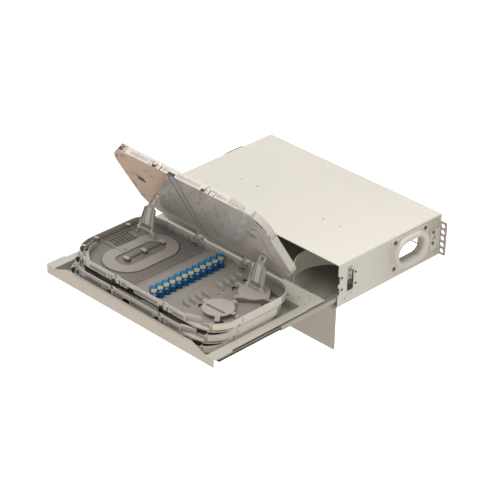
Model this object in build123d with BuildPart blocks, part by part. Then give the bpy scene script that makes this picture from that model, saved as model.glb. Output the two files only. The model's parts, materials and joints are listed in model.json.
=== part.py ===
from build123d import *
from math import cos, hypot, radians, sin, tan
import os

# Fibre management shelf, two rack units high, for a 19 inch rack, in millimetres.
# The origin is the centre of the rack screw pattern on the rear faces of the two ears.
# X runs to the right, Y to the back and Z up. Depths are counted from the front edge of
# the housing, where a negative depth lies in front of it, and heights from its underside.
# The drawer is out, the door hangs open and the top splice tray stands on its two props.

# Driving dimensions of the housing
body_width = 447.0
body_height = 87.2
body_depth = 282.0
cover_sheet = 1.5
base_sheet = 1.5
cover_bend = 3.0
rack_face_inset = 3.5
rack_centre_height = 39.2
rear_cut_inner = 127.0
rear_cut_outer = 205.0
rear_cut_front = 213.0
rear_port_height = 15.0
rear_port_outer = 171.0
side_flange_height = 9.0

# Rack ears
ear_sheet = 2.0
ear_reach = 17.8
ear_height = 70.0
ear_centre_height = 39.5
ear_leg = 27.0
ear_leg_height = 42.0
rack_hole_radius = 4.5
rack_hole_pitch = 13.2
rack_hole_offset = 9.05
ear_screw_inset = 20.5
ear_screw_heights = (57.0, 33.7)

# Cable inlets in both sides
inlet_from_rear = 91.0
inlet_height = 49.0
frame_length = 99.0
frame_height = 67.0
frame_sheet = 2.5
frame_corner = 6.0
frame_screw_spacing = (84.0, 55.3)
rim_length = 92.0
rim_height = 62.0
rim_stand_off = 12.5
rim_edge = 1.0
throat_length = 70.0
throat_height = 36.6
throat_depth = 7.5
flare_radius = 9.6
collar_gap = 0.3

# Side latches
latch_depth = 29.0
latch_width = 10.4
latch_sheet = 1.2
latch_top = 74.0
latch_fold = 50.0
latch_tip = 34.0
latch_rivet_heights = (67.4, 55.6)
ear_slot_depths = (9.3, 45.5)
ear_slot_length = 5.6
ear_slot_width = 3.0
latch_slot = (23.4, 40.3, 24.5, 49.0)
latch_slot_neck = (35.0, 40.3, 65.0)
notch_depth = 4.0
notch_heights = ((24.0, 40.0), (47.0, 64.0))

# Front door, hanging from two hinge pins
door_width = 445.0
door_height = 85.0
door_sheet = 1.5
door_corner = 3.0
door_pin_radius = 1.0
door_knuckle_radius = 2.0
door_pin_drop = 2.2
door_pin_depth = -2.2
door_hinge_centre = 150.0
door_knuckle_length = 14.0
running_gap = 0.05
side_gap = 0.4

# Telescopic slides
slide_length = 275.0
slide_sheet = 1.2
slide_outer_height = 12.0
slide_bottom = 9.5
slide_gap = 0.3
outer_slide_front = 5.0
middle_slide_front = -143.0
inner_slide_front = -294.0
outer_slide_inner_edge = 212.0
middle_slide_inner_edge = 209.0

# Drawer
drawer_wall = 200.2
drawer_sheet = 1.2
drawer_bottom = 6.3
drawer_front = -305.5
drawer_rear = -26.0
deck_front = -73.4
deck_top = 23.0
deck_half_width = 216.0
deck_holes = ((40.0, -52.0), (15.0, -62.0), (30.0, -36.0), (66.0, -64.0))
deck_hole_radius = 1.6
rail_inner = 199.0
rail_outer = 217.0
rail_wide = 221.5
rail_wide_length = 45.0
strip_sheet = 1.5
strip_half_width = 217.7
strip_end_height = 23.2
strip_top_height = 35.0
strip_ramp_outer = 194.0
strip_ramp_inner = 165.0
trim_length = 318.0
trim_wall = 0.8
trim_height = 4.0
tooth_pitch = 6.0
tooth_gap = 2.0

# Curved fibre band behind the drawer
band_sheet = 1.2
band_height = 41.0
band_points = ((138.3, -26.3), (116.7, 23.5), (143.8, 79.4))

# Splice trays, each drawn in its own frame with the origin on its hinge axis
tray_count = 4
tray_width = 388.0
tray_depth = 201.5
tray_height = 14.8
tray_wall = 1.6
tray_floor = 1.6
tray_front_radii = (60.0, 52.0)
tray_rear_radius = 42.0
tray_step = 11.4
tray_pitch = 17.8
second_tray_axis_depth = -75.6
second_tray_axis_height = 56.4
axis_behind_wall = 3.5
axis_below_rim = 2.0
top_tray_lift = 57.8
hinge_positions = (-57.0, 67.0)
hinge_pin_radius = 1.25
hinge_boss_radius = 2.6
knuckle_length = 10.0
lug_sheet = 4.0
lug_strap = 1.5
lug_strap_gap = 0.4
lug_gap = 0.5
feature_height = 9.8
recess_x = -20.0
recess_radius = 9.0
recess_height = 6.0
notch_size = (7.0, 5.0)
grip_size = (4.0, 1.0)
grip_offset = 5.0
left_exit = (-170.0, 24.0)
left_exit_size = (10.0, 40.0)
left_exit_turn = -45.0
right_exit = (148.0, 171.0)
right_exit_depth = 16.0
ramp_start = 119.0
ramp_inset = 12.0

# Adaptor row in each tray
adaptor_count = 12
adaptor_pitch = 15.0
adaptor_centre_x = 21.0
adaptor_row_centre = -104.2
adaptor_turn = -38.0
adaptor_half = 13.0
adaptor_core = 12.0
adaptor_width = 10.4
adaptor_height = 9.0
core_width = 9.0
core_height = 9.8

# Fibre guides in each tray
platform_centre = (-103.0, -104.0)
platform_size = (92.0, 158.0)
platform_rise = 1.6
platform_opening = (42.0, 108.0)
platform_opening_radius = 18.0
post_positions = (-138.0, -95.5, -49.5)
post_x = -103.5
post_size = (13.0, 7.0)
post_height = 4.0
fin_x = 86.0
fin_length = 15.0
fin_sheet = 1.6
fin_round = 6.0
front_fin_height = 9.0
front_fin_rows = (-170.0, -154.0, -138.0, -122.0)
rear_fin_height = 12.0
rear_fin_rows = (-86.0, -70.0, -54.0, -38.0)
disc_radius = 29.0
disc_drum_radius = 15.0
disc_sheet = 1.8
disc_centres = ((138.8, -142.4), (143.0, -58.0))
disc_slot = (46.0, 3.0)
disc_slot_offset = (-0.4, -6.8)
disc_slot_turn = 3.0

# Prop arms on the second tray
prop_positions = (-145.0, 139.5)
prop_axis_y = -52.0
prop_axis_z = 2.2
prop_rest_angle = 106.0
prop_foot_width = 38.0
prop_shoulder_width = 27.0
prop_finger_width = 15.0
prop_knee = 6.0
prop_shoulder = 42.0
prop_neck = 46.0
prop_length = 48.0
prop_heel = 3.2
prop_leg = 6.0
prop_leg_height = 8.0
prop_sheet = 2.2
prop_rib = 2.0
prop_rib_width = 2.4
prop_finger_turn = 25.0
prop_window = (8.0, 9.0)
prop_slot_length = 16.0
prop_slot_margin = 2.0
prop_tip_gap = 0.4
prop_pin_radius = 1.0
prop_barrel_radius = 2.0
prop_boss_sheet = 3.0

# Screws and rivets
screw_radius = 1.5
screw_head_radius = 3.2
screw_head_height = 1.8
rivet_radius = 1.6
rivet_head_radius = 2.6
rivet_head_height = 1.0

# Levels and faces worked out from the dimensions above
rack_face_depth = body_depth - rack_face_inset
ear_screw_depth = rack_face_depth - ear_screw_inset
inlet_depth = body_depth - inlet_from_rear
front_y = -rack_face_depth
base_z = -rack_centre_height
half_width = body_width / 2
inner_half = half_width - cover_sheet
tray_front = -axis_behind_wall - tray_depth
tray_bottom = axis_below_rim - tray_height
tray_floor_top = tray_bottom + tray_floor
feature_top = tray_floor_top + feature_height


def from_front(depth):
    """Row-frame Y of a depth behind the front edge of the housing."""
    return front_y + depth


def from_base(height):
    """Row-frame Z of a height above the underside of the housing."""
    return base_z + height


def cross_plane(depth):
    """Plane across the shelf at a depth, seen from the front."""
    return Plane.XZ.offset(-from_front(depth))


def level_plane(height):
    """Horizontal plane at a height above the underside."""
    return Plane.XY.offset(from_base(height))


def side_plane(x):
    """Upright plane along the shelf at a given X."""
    return Plane.YZ.offset(x)


def finish(part, name):
    """Name a finished piece and write it to its own file."""
    part.label = name
    export_step(part, f"parts/{name}.step")


def block(x_range, depth_range, height_range):
    """Solid between two values of X, of depth and of height, joined to the open part."""
    with Locations(
        (
            sum(x_range) / 2,
            from_front(sum(depth_range) / 2),
            from_base(sum(height_range) / 2),
        )
    ):
        Box(
            abs(x_range[1] - x_range[0]),
            abs(depth_range[1] - depth_range[0]),
            abs(height_range[1] - height_range[0]),
        )


# Housing: a folded cover over a base tray with its rear wall
def side_cut(depth, height, length, tall, rounded=True):
    """Cut one opening through both side walls of the open part."""
    with BuildSketch(Plane.YZ) as outline:
        with Locations((from_front(depth), from_base(height))):
            if rounded and length > tall:
                SlotOverall(length, tall)
            elif rounded:
                SlotOverall(tall, length, rotation=90)
            else:
                Rectangle(length, tall)
    extrude(outline.sketch, amount=body_width, both=True, mode=Mode.SUBTRACT)


def housing_cover():
    """Top and two sides, folded from one sheet."""
    with BuildPart() as cover:
        with BuildSketch(cross_plane(0)):
            with Locations((0, from_base(body_height / 2))):
                Rectangle(body_width, body_height)
            fillet(vertices().group_by(Axis.Y)[-1], cover_bend)
            with Locations((0, from_base((body_height - cover_sheet) / 2))):
                Rectangle(2 * inner_half, body_height - cover_sheet, mode=Mode.SUBTRACT)
        extrude(amount=-body_depth)
        side_cut(inlet_depth, inlet_height, throat_length + 4, throat_height + 4)
        y0, y1, z0, z1 = latch_slot
        side_cut((y0 + y1) / 2, (z0 + z1) / 2, y1 - y0, z1 - z0, rounded=False)
        neck0, neck1, neck_top = latch_slot_neck
        side_cut((neck0 + neck1) / 2, (z1 + neck_top) / 2, neck1 - neck0, neck_top - z1, False)
        for low, high in notch_heights:
            side_cut(0, (low + high) / 2, 2 * notch_depth, high - low, rounded=False)
        for height in ear_screw_heights:
            for depth in (*ear_slot_depths, ear_screw_depth):
                side_cut(depth, height, ear_slot_length, ear_slot_width)
        for height in latch_rivet_heights:
            side_cut(latch_depth, height, 2 * rivet_radius, 2 * rivet_radius + 0.001)
        for shift_y in (-0.5, 0.5):
            for shift_z in (-0.5, 0.5):
                depth = inlet_depth + shift_y * frame_screw_spacing[0]
                height = inlet_height + shift_z * frame_screw_spacing[1]
                side_cut(depth, height, 2 * screw_radius, 2 * screw_radius + 0.001)
    return cover.part


def housing_base():
    """Floor with open rear corners, low side flanges and the rear wall."""
    with BuildPart() as base:
        block((-inner_half, inner_half), (0, body_depth), (0, base_sheet))
        block(
            (-inner_half, inner_half),
            (body_depth - base_sheet, body_depth),
            (0, body_height - cover_sheet),
        )
        for side in (-1, 1):
            block(
                (side * inner_half, side * (inner_half - base_sheet / 2)),
                (notch_depth + 1, body_depth - ear_leg),
                (0, side_flange_height),
            )
        with BuildSketch(level_plane(0)):
            for side in (-1, 1):
                with Locations(
                    (
                        side * (rear_cut_inner + rear_cut_outer) / 2,
                        from_front((rear_cut_front + body_depth - base_sheet) / 2),
                    )
                ):
                    RectangleRounded(
                        rear_cut_outer - rear_cut_inner,
                        body_depth - base_sheet - rear_cut_front,
                        4,
                    )
        extrude(amount=base_sheet, mode=Mode.SUBTRACT)
        with BuildSketch(cross_plane(body_depth)):
            for side in (-1, 1):
                with Locations(
                    (
                        side * (rear_cut_inner + rear_port_outer) / 2,
                        from_base(base_sheet + rear_port_height / 2),
                    )
                ):
                    Rectangle(rear_port_outer - rear_cut_inner, rear_port_height)
        extrude(amount=2 * base_sheet, mode=Mode.SUBTRACT)
        for side in (-1, 1):
            door_knuckle(side, 1)
            door_knuckle(side, -1)
    return base.part


def door_knuckle(side, end):
    """One rolled knuckle of the base beside the door's own, with its web to the floor."""
    inner = door_knuckle_length / 2 + side_gap
    centre = side * door_hinge_centre + end * (inner + door_knuckle_length / 4)
    pin_y = from_front(door_pin_depth)
    pin_z = from_base(-door_pin_drop)
    with BuildSketch(side_plane(centre - door_knuckle_length / 4)) as outline:
        with Locations((pin_y, pin_z)):
            Circle(door_knuckle_radius)
        with BuildLine():
            Polyline(
                (pin_y, pin_z + door_knuckle_radius),
                (from_front(1.0), from_base(base_sheet)),
                (from_front(1.0), from_base(0)),
                (pin_y, pin_z),
                close=True,
            )
        make_face()
        with Locations((pin_y, pin_z)):
            Circle(door_pin_radius, mode=Mode.SUBTRACT)
    extrude(outline.sketch, amount=door_knuckle_length / 2)


def front_door():
    """Flat door panel, hanging open, with two rolled knuckles on its hinge edge."""
    pin_y = from_front(door_pin_depth)
    pin_z = from_base(-door_pin_drop)
    top = -door_pin_drop - door_knuckle_radius - side_gap
    with BuildPart() as door:
        with BuildSketch(cross_plane(door_pin_depth + door_sheet / 2)):
            with Locations((0, from_base(top - door_height / 2))):
                RectangleRounded(door_width, door_height, door_corner)
        extrude(amount=door_sheet)
        for side in (-1, 1):
            centre = side * door_hinge_centre
            with BuildSketch(side_plane(centre - door_knuckle_length / 2)):
                with Locations((pin_y, pin_z)):
                    Circle(door_knuckle_radius)
                with Locations((pin_y, from_base(top))):
                    Rectangle(door_sheet, 2 * door_knuckle_radius)
                with Locations((pin_y, pin_z)):
                    Circle(door_pin_radius + running_gap, mode=Mode.SUBTRACT)
            extrude(amount=door_knuckle_length)
    return door.part


def door_pins():
    """Two hinge pins, each through three knuckles."""
    length = 2 * door_knuckle_length + 2 * side_gap
    with BuildPart() as pins:
        for side in (-1, 1):
            with BuildSketch(side_plane(side * door_hinge_centre - length / 2)):
                with Locations((from_front(door_pin_depth), from_base(-door_pin_drop))):
                    Circle(door_pin_radius)
            extrude(amount=length)
    return pins.part


# Rack ears and their fasteners
def rack_ear(side):
    """Folded ear: a flange with five round holes and a leg along the housing side."""
    flange_face = rack_face_depth - ear_sheet
    leg_inner = side * half_width
    with BuildPart() as ear:
        block(
            (leg_inner, side * (half_width + ear_reach)),
            (flange_face, rack_face_depth),
            (ear_centre_height - ear_height / 2, ear_centre_height + ear_height / 2),
        )
        outer = ear.edges().filter_by(Axis.Y).group_by(Axis.X)[-1 if side > 0 else 0]
        fillet(outer, 3.0)
        block(
            (leg_inner, leg_inner + side * ear_sheet),
            (rack_face_depth - ear_leg, flange_face),
            (ear_centre_height - ear_leg_height / 2, ear_centre_height + ear_leg_height / 2),
        )
        with BuildSketch(cross_plane(rack_face_depth)):
            with Locations((side * (half_width + rack_hole_offset), from_base(rack_centre_height))):
                with GridLocations(1, rack_hole_pitch, 1, 5):
                    Circle(rack_hole_radius)
        extrude(amount=ear_sheet, mode=Mode.SUBTRACT)
        with BuildSketch(side_plane(leg_inner)):
            for height in ear_screw_heights:
                with Locations((from_front(ear_screw_depth), from_base(height))):
                    Circle(screw_radius)
        extrude(amount=side * ear_sheet, mode=Mode.SUBTRACT)
    return ear.part


def pan_screw(plane, grip):
    """Pan-head screw whose head seats on a plane, with its shank behind it."""
    with BuildSketch(plane) as outline:
        Circle(screw_head_radius)
    extrude(outline.sketch, amount=screw_head_height)
    with BuildSketch(plane) as outline:
        Circle(screw_radius)
    extrude(outline.sketch, amount=-grip)


def outward_plane(side, x, depth, height):
    """Plane facing outwards from one side of the shelf."""
    return Plane(
        origin=(side * x, from_front(depth), from_base(height)),
        x_dir=(0, side, 0),
        z_dir=(side, 0, 0),
    )


def ear_screws():
    """Screws that hold both ears to the cover."""
    with BuildPart() as screws:
        for side in (-1, 1):
            for height in ear_screw_heights:
                seat = outward_plane(side, half_width + ear_sheet, ear_screw_depth, height)
                pan_screw(seat, ear_sheet + cover_sheet)
    return screws.part


# Cable inlets
def inlet_frame(side):
    """Flat metal frame round a cable inlet."""
    with BuildPart() as frame:
        with BuildSketch(outward_plane(side, half_width, inlet_depth, inlet_height)):
            RectangleRounded(frame_length, frame_height, frame_corner)
            SlotOverall(rim_length - 8, rim_height - 8, mode=Mode.SUBTRACT)
            with GridLocations(*frame_screw_spacing, 2, 2):
                Circle(screw_radius, mode=Mode.SUBTRACT)
        extrude(amount=frame_sheet)
    return frame.part


def inlet_bellmouth(side):
    """Flared obround mouth that keeps the cables' bend radius."""
    seat = outward_plane(side, half_width + frame_sheet, inlet_depth, inlet_height)
    with BuildPart() as mouth:
        with BuildSketch(seat):
            SlotOverall(rim_length, rim_height)
        extrude(amount=rim_stand_off - frame_sheet)
        outer_rim = mouth.faces().filter_by(Axis.X).sort_by(Axis.X)[-1 if side > 0 else 0].edges()
        chamfer(outer_rim, rim_edge)
        with BuildSketch(seat):
            SlotOverall(rim_length - 8 - 2 * collar_gap, rim_height - 8 - 2 * collar_gap)
        extrude(amount=-frame_sheet)
        with BuildSketch(seat.offset(-frame_sheet)):
            SlotOverall(throat_length + 4 - 2 * collar_gap, throat_height + 4 - 2 * collar_gap)
        extrude(amount=-throat_depth)
        with BuildSketch(seat.offset(rim_stand_off - frame_sheet)):
            SlotOverall(throat_length, throat_height)
        extrude(amount=-(rim_stand_off + throat_depth), mode=Mode.SUBTRACT)
        front = mouth.faces().filter_by(Axis.X).sort_by(Axis.X)[-1 if side > 0 else 0]
        fillet(front.inner_wires()[0].edges(), flare_radius)
    return mouth.part


def inlet_screws():
    """Four screws in each inlet frame."""
    with BuildPart() as screws:
        for side in (-1, 1):
            for shift_y in (-0.5, 0.5):
                for shift_z in (-0.5, 0.5):
                    seat = outward_plane(
                        side,
                        half_width + frame_sheet,
                        inlet_depth + shift_y * frame_screw_spacing[0],
                        inlet_height + shift_z * frame_screw_spacing[1],
                    )
                    pan_screw(seat, frame_sheet + cover_sheet)
    return screws.part


# Side latches
def latch_plate(side):
    """Fixed upper part of the spring latch, riveted to the side."""
    centre = (latch_top + latch_fold) / 2
    with BuildPart() as plate:
        with BuildSketch(outward_plane(side, half_width, latch_depth, centre)):
            Rectangle(latch_width, latch_top - latch_fold)
            with Locations(*[(0, height - centre) for height in latch_rivet_heights]):
                Circle(rivet_radius, mode=Mode.SUBTRACT)
        extrude(amount=latch_sheet)
    return plate.part


def latch_hook(side):
    """Springing lower part of the latch, with a hook that reaches in through the slot."""
    inner = side * half_width
    outer = side * (half_width + latch_sheet)
    with BuildPart() as hook:
        block(
            (inner, outer),
            (latch_depth - latch_width / 2, latch_depth + latch_width / 2),
            (latch_tip, latch_fold - collar_gap),
        )
        block(
            (inner - side * (cover_sheet + 1.0), inner),
            (latch_depth - latch_width / 2 + 1.0, latch_depth + 2.0),
            (latch_tip, latch_tip + 4.0),
        )
        block(
            (outer, outer + side * 3.0),
            (latch_depth - latch_width / 2, latch_depth + latch_width / 2),
            (latch_tip, latch_tip + 1.2),
        )
    return hook.part


def latch_rivets():
    """Two rivets through each latch plate."""
    with BuildPart() as rivets:
        for side in (-1, 1):
            for height in latch_rivet_heights:
                seat = outward_plane(side, half_width + latch_sheet, latch_depth, height)
                with BuildSketch(seat):
                    Circle(rivet_head_radius)
                extrude(amount=rivet_head_height)
                with BuildSketch(seat):
                    Circle(rivet_radius)
                extrude(amount=-(latch_sheet + cover_sheet))
    return rivets.part


# Telescopic slides: each member is a channel folded from sheet
def channel(side, web_x, tip_x, height, front, web_inside=False):
    """Channel with its web at web_x and two flanges that reach to tip_x."""
    bottom = slide_bottom + (slide_outer_height - height) / 2
    top = bottom + height
    rear = front + slide_length
    direction = 1 if web_inside else -1
    with BuildPart() as member:
        block(
            (side * web_x, side * (web_x + direction * slide_sheet)),
            (front, rear),
            (bottom, top),
        )
        block((side * web_x, side * tip_x), (front, rear), (bottom, bottom + slide_sheet))
        block((side * web_x, side * tip_x), (front, rear), (top - slide_sheet, top))
    return member.part


middle_slide_web = inner_half - slide_sheet - slide_gap - 0.1
middle_slide_height = slide_outer_height - 2 * slide_sheet - 2 * slide_gap
inner_slide_tip = middle_slide_web - slide_sheet - slide_gap
inner_slide_height = middle_slide_height - 2 * slide_sheet - 2 * slide_gap


def outer_slide(side):
    """Fixed member on the inside of the housing."""
    with BuildPart() as member:
        add(
            channel(
                side,
                inner_half,
                outer_slide_inner_edge,
                slide_outer_height,
                outer_slide_front,
            )
        )
    return member.part


# Drawer
def drawer_base():
    """Floor and two side walls of the drawer, folded from one sheet."""
    top = deck_top - drawer_sheet
    with BuildPart() as base:
        block(
            (-drawer_wall, drawer_wall),
            (drawer_front, drawer_rear),
            (drawer_bottom, drawer_bottom + drawer_sheet),
        )
        for side in (-1, 1):
            block(
                (side * drawer_wall, side * (drawer_wall - drawer_sheet)),
                (drawer_front, drawer_rear),
                (drawer_bottom, top),
            )
    return base.part


def front_strip():
    """Drawer front with low ends and a raised middle."""
    with BuildPart() as strip:
        with BuildSketch(cross_plane(drawer_front)):
            with BuildLine():
                Polyline(
                    (-strip_half_width, from_base(drawer_bottom)),
                    (-strip_half_width, from_base(strip_end_height)),
                    (-strip_ramp_outer, from_base(strip_end_height)),
                    (-strip_ramp_inner, from_base(strip_top_height)),
                    (strip_ramp_inner, from_base(strip_top_height)),
                    (strip_ramp_outer, from_base(strip_end_height)),
                    (strip_half_width, from_base(strip_end_height)),
                    (strip_half_width, from_base(drawer_bottom)),
                    close=True,
                )
            make_face()
        extrude(amount=strip_sheet)
        ramps = strip.edges().filter_by(Axis.Y).group_by(Axis.Z)
        fillet(ramps[-1], 12.0)
    return strip.part


def edge_trim():
    """Toothed grommet strip over the raised edge of the drawer front."""
    half = trim_length / 2 - 14
    teeth = int(2 * half / tooth_pitch)
    top = strip_top_height + trim_wall
    with BuildPart() as trim:
        block(
            (-half, half),
            (drawer_front - strip_sheet - trim_wall, drawer_front + trim_wall),
            (strip_top_height, top),
        )
        block(
            (-half, half),
            (drawer_front - strip_sheet - trim_wall, drawer_front - strip_sheet),
            (top - trim_height / 2, top),
        )
        for index in range(teeth):
            left = -half + (index + 0.5) * tooth_pitch - (tooth_pitch - tooth_gap) / 2
            block(
                (left, left + tooth_pitch - tooth_gap),
                (drawer_front, drawer_front + trim_wall),
                (top - trim_height, top - trim_wall / 2),
            )
    return trim.part


def side_rail(side):
    """Flat rail on one drawer wall, wider over its first stretch to cover the slide."""
    bottom = deck_top - drawer_sheet
    with BuildPart() as rail:
        block(
            (side * rail_inner, side * rail_outer),
            (drawer_front, deck_front - collar_gap),
            (bottom, deck_top),
        )
        block(
            (side * rail_outer, side * rail_wide),
            (drawer_front, drawer_front + rail_wide_length),
            (bottom, deck_top),
        )
        corner = rail.edges().filter_by(Axis.Z).group_by(Axis.X)[-1 if side > 0 else 0]
        chamfer(corner.sort_by(Axis.Y)[-1], 4.0)
    return rail.part


def rear_deck():
    """Raised plate across the rear of the drawer, with its step down in front."""
    bottom = deck_top - drawer_sheet
    inside = drawer_wall - drawer_sheet
    with BuildPart() as deck:
        block((-deck_half_width, deck_half_width), (deck_front, drawer_rear), (bottom, deck_top))
        block(
            (-inside, inside),
            (deck_front, deck_front + drawer_sheet),
            (drawer_bottom + drawer_sheet, bottom),
        )
        with BuildSketch(level_plane(deck_top)):
            for inset, depth in deck_holes:
                x = deck_half_width - inset
                with Locations((x, from_front(depth)), (-x, from_front(depth))):
                    Circle(deck_hole_radius)
        extrude(amount=-drawer_sheet, mode=Mode.SUBTRACT)
    return deck.part


def guide_band():
    """Springy fibre band, bent to an arc between the drawer and the cable inlet."""
    start, middle, end = [(x, from_front(depth)) for x, depth in band_points]
    with BuildPart() as band:
        with BuildSketch(level_plane(deck_top)):
            with BuildLine():
                ThreePointArc(start, middle, end)
                offset(amount=band_sheet / 2, side=Side.BOTH)
            make_face()
        extrude(amount=band_height)
    return band.part


def hinge_brackets():
    """Two brackets on the drawer floor that carry the lowest tray's hinge."""
    axis_y, axis_z = tray_axis(tray_count)
    with BuildPart() as brackets:
        for centre in hinge_positions:
            for end in (-1, 1):
                start = centre + end * (knuckle_length / 2 + lug_gap + lug_sheet / 2)
                with BuildSketch(side_plane(start - lug_sheet / 2)):
                    with Locations((axis_y, axis_z)):
                        Circle(hinge_boss_radius)
                    with Locations((axis_y, (axis_z + from_base(drawer_bottom + drawer_sheet)) / 2)):
                        height = axis_z - from_base(drawer_bottom + drawer_sheet)
                        Rectangle(2 * hinge_boss_radius, height)
                    with Locations((axis_y, axis_z)):
                        Circle(hinge_pin_radius, mode=Mode.SUBTRACT)
                extrude(amount=lug_sheet)
    return brackets.part


# Splice trays
def tray_axis(number):
    """Row-frame Y and Z of a tray's hinge axis, counted from the top tray down."""
    steps = 2 - number
    return (
        from_front(second_tray_axis_depth + steps * tray_step),
        from_base(second_tray_axis_height + steps * tray_pitch),
    )


def tray_plane(number):
    """Frame of a tray: the top one stands open, the others lie flat."""
    angle = radians(top_tray_lift if number == 1 else 0)
    y, z = tray_axis(number)
    return Plane(origin=(0, y, z), x_dir=(1, 0, 0), z_dir=(0, sin(angle), cos(angle)))


def tray_outline(inset):
    """Rounded outline of a tray in the open sketch, drawn in by an inset."""
    with Locations((0, -axis_behind_wall - tray_depth / 2)):
        Rectangle(tray_width - 2 * inset, tray_depth - 2 * inset)
    fillet(vertices().group_by(Axis.Y)[0].sort_by(Axis.X)[0], tray_front_radii[0] - inset)
    fillet(vertices().group_by(Axis.Y)[0].sort_by(Axis.X)[-1], tray_front_radii[1] - inset)
    fillet(vertices().group_by(Axis.Y)[-1], tray_rear_radius - inset)


def tray_pan(carries_lugs, carries_props):
    """Moulded tray with its walls, hinge knuckles and fibre guides."""
    rear_face = -axis_behind_wall
    with BuildPart() as pan:
        with BuildSketch(Plane.XY.offset(tray_bottom)):
            tray_outline(0)
        extrude(amount=tray_height)
        with BuildSketch(Plane.XY.offset(tray_floor_top)):
            tray_outline(tray_wall)
        extrude(amount=tray_height, mode=Mode.SUBTRACT)
        tray_wall_cuts()
        tray_exit_ramp()
        tray_left_bay()
        tray_right_bay()
        tray_fins(front_fin_rows, front_fin_height)
        tray_fins(rear_fin_rows, rear_fin_height)
        tray_knuckles(rear_face)
        if carries_lugs:
            tray_lugs(rear_face)
        tray_prop_slots()
        if carries_props:
            tray_prop_seats()
    return pan.part


def tray_wall_cuts():
    """Latch notches with finger grips, the finger recess and the fibre exits of the wall."""
    with Locations((recess_x, tray_front, tray_bottom)):
        Cylinder(recess_radius, 2 * recess_height, mode=Mode.SUBTRACT)
    notch_width, notch_depth_down = notch_size
    for x in hinge_positions:
        with Locations((x, tray_front, axis_below_rim - notch_depth_down / 2)):
            Box(notch_width, 4 * tray_wall, notch_depth_down, mode=Mode.SUBTRACT)
        grip_height = tray_height - grip_size[0]
        with Locations((x + grip_offset, tray_front, tray_bottom + grip_size[1] + grip_height / 2)):
            Box(grip_size[0], grip_size[1], grip_height)
    with Locations((left_exit[0], tray_front + left_exit[1], tray_floor_top + tray_height)):
        Box(
            *left_exit_size,
            2 * tray_height,
            rotation=(0, 0, left_exit_turn),
            mode=Mode.SUBTRACT,
        )
    open_from = ramp_start + tray_wall
    with Locations(((open_from + right_exit[1]) / 2, tray_front, tray_floor_top + tray_height / 2)):
        Box(
            right_exit[1] - open_from,
            2 * right_exit_depth,
            tray_height,
            mode=Mode.SUBTRACT,
        )


def tray_exit_ramp():
    """Slanting wall that leads the fibres to the exit at the front-right corner."""
    with BuildSketch(Plane.XY.offset(tray_floor_top)) as outline:
        with BuildLine():
            Polyline(
                (ramp_start, tray_front),
                (right_exit[0], tray_front + ramp_inset),
                (right_exit[0], tray_front + ramp_inset + tray_wall),
                (ramp_start, tray_front + tray_wall),
                close=True,
            )
        make_face()
    extrude(outline.sketch, amount=axis_below_rim - tray_floor_top)


def tray_left_bay():
    """Raised storage platform with three oval posts."""
    with BuildSketch(Plane.XY.offset(tray_floor_top)) as outline:
        with Locations(platform_centre):
            RectangleRounded(*platform_size, platform_size[0] / 2 - 0.5)
            RectangleRounded(
                *platform_opening, platform_opening_radius, mode=Mode.SUBTRACT
            )
    extrude(outline.sketch, amount=platform_rise)
    with BuildSketch(Plane.XY.offset(tray_floor_top)) as outline:
        with Locations(*[(post_x, y) for y in post_positions]):
            SlotOverall(*post_size)
    extrude(outline.sketch, amount=post_height)


def tray_right_bay():
    """Two winding discs on drums, one with a slot."""
    with BuildSketch(Plane.XY.offset(tray_floor_top)) as outline:
        with Locations(*disc_centres):
            Circle(disc_drum_radius)
    extrude(outline.sketch, amount=feature_height - disc_sheet)
    with BuildSketch(Plane.XY.offset(feature_top - disc_sheet)) as outline:
        with Locations(*disc_centres):
            Circle(disc_radius)
    extrude(outline.sketch, amount=disc_sheet)
    slot_x = disc_centres[0][0] + disc_slot_offset[0]
    slot_y = disc_centres[0][1] + disc_slot_offset[1]
    with BuildSketch(Plane.XY.offset(feature_top)) as outline:
        with Locations((slot_x, slot_y)):
            SlotOverall(*disc_slot, rotation=disc_slot_turn)
    extrude(outline.sketch, amount=-disc_sheet, mode=Mode.SUBTRACT)


def tray_fins(rows, height):
    """Upright fins with a rounded shoulder, which fan the fibres out."""
    for y in rows:
        with BuildSketch(Plane.XZ.offset(-y - fin_sheet / 2)) as outline:
            with Locations((fin_x, tray_floor_top + height / 2)):
                Rectangle(fin_length, height)
            fillet(vertices().group_by(Axis.Y)[-1].sort_by(Axis.X)[-1], fin_round)
        extrude(outline.sketch, amount=fin_sheet)


def tray_knuckles(rear_face):
    """Hinge knuckles on the rear wall, bored for the pin."""
    for centre in hinge_positions:
        with BuildSketch(side_plane(centre - knuckle_length / 2)) as outline:
            Circle(hinge_boss_radius)
            with Locations((rear_face / 2, 0)):
                Rectangle(-rear_face + 0.6, 2 * hinge_boss_radius)
            Circle(hinge_pin_radius + running_gap, mode=Mode.SUBTRACT)
        extrude(outline.sketch, amount=knuckle_length)


def tray_lugs(rear_face):
    """Lugs that pass over the tray's own hinge and hold the next tray's pin."""
    strap_top = tray_pitch + tray_bottom - lug_strap_gap
    for centre in hinge_positions:
        for end in (-1, 1):
            start = centre + end * (knuckle_length / 2 + lug_gap + lug_sheet / 2)
            with BuildSketch(side_plane(start - lug_sheet / 2)) as outline:
                with BuildLine():
                    Polyline(
                        (rear_face - tray_wall, axis_below_rim - 1.0),
                        (rear_face - tray_wall, strap_top),
                        (tray_step - hinge_boss_radius, strap_top),
                        (tray_step - hinge_boss_radius, tray_pitch),
                        (tray_step + hinge_boss_radius, tray_pitch),
                        (tray_step + hinge_boss_radius, strap_top - 3.0),
                        (tray_step - 1.0, strap_top - lug_strap),
                        (rear_face, strap_top - lug_strap),
                        (rear_face, axis_below_rim - 1.0),
                        close=True,
                    )
                make_face()
                with Locations((tray_step, tray_pitch)):
                    Circle(hinge_boss_radius)
                    Circle(hinge_pin_radius, mode=Mode.SUBTRACT)
            extrude(outline.sketch, amount=lug_sheet)


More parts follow.
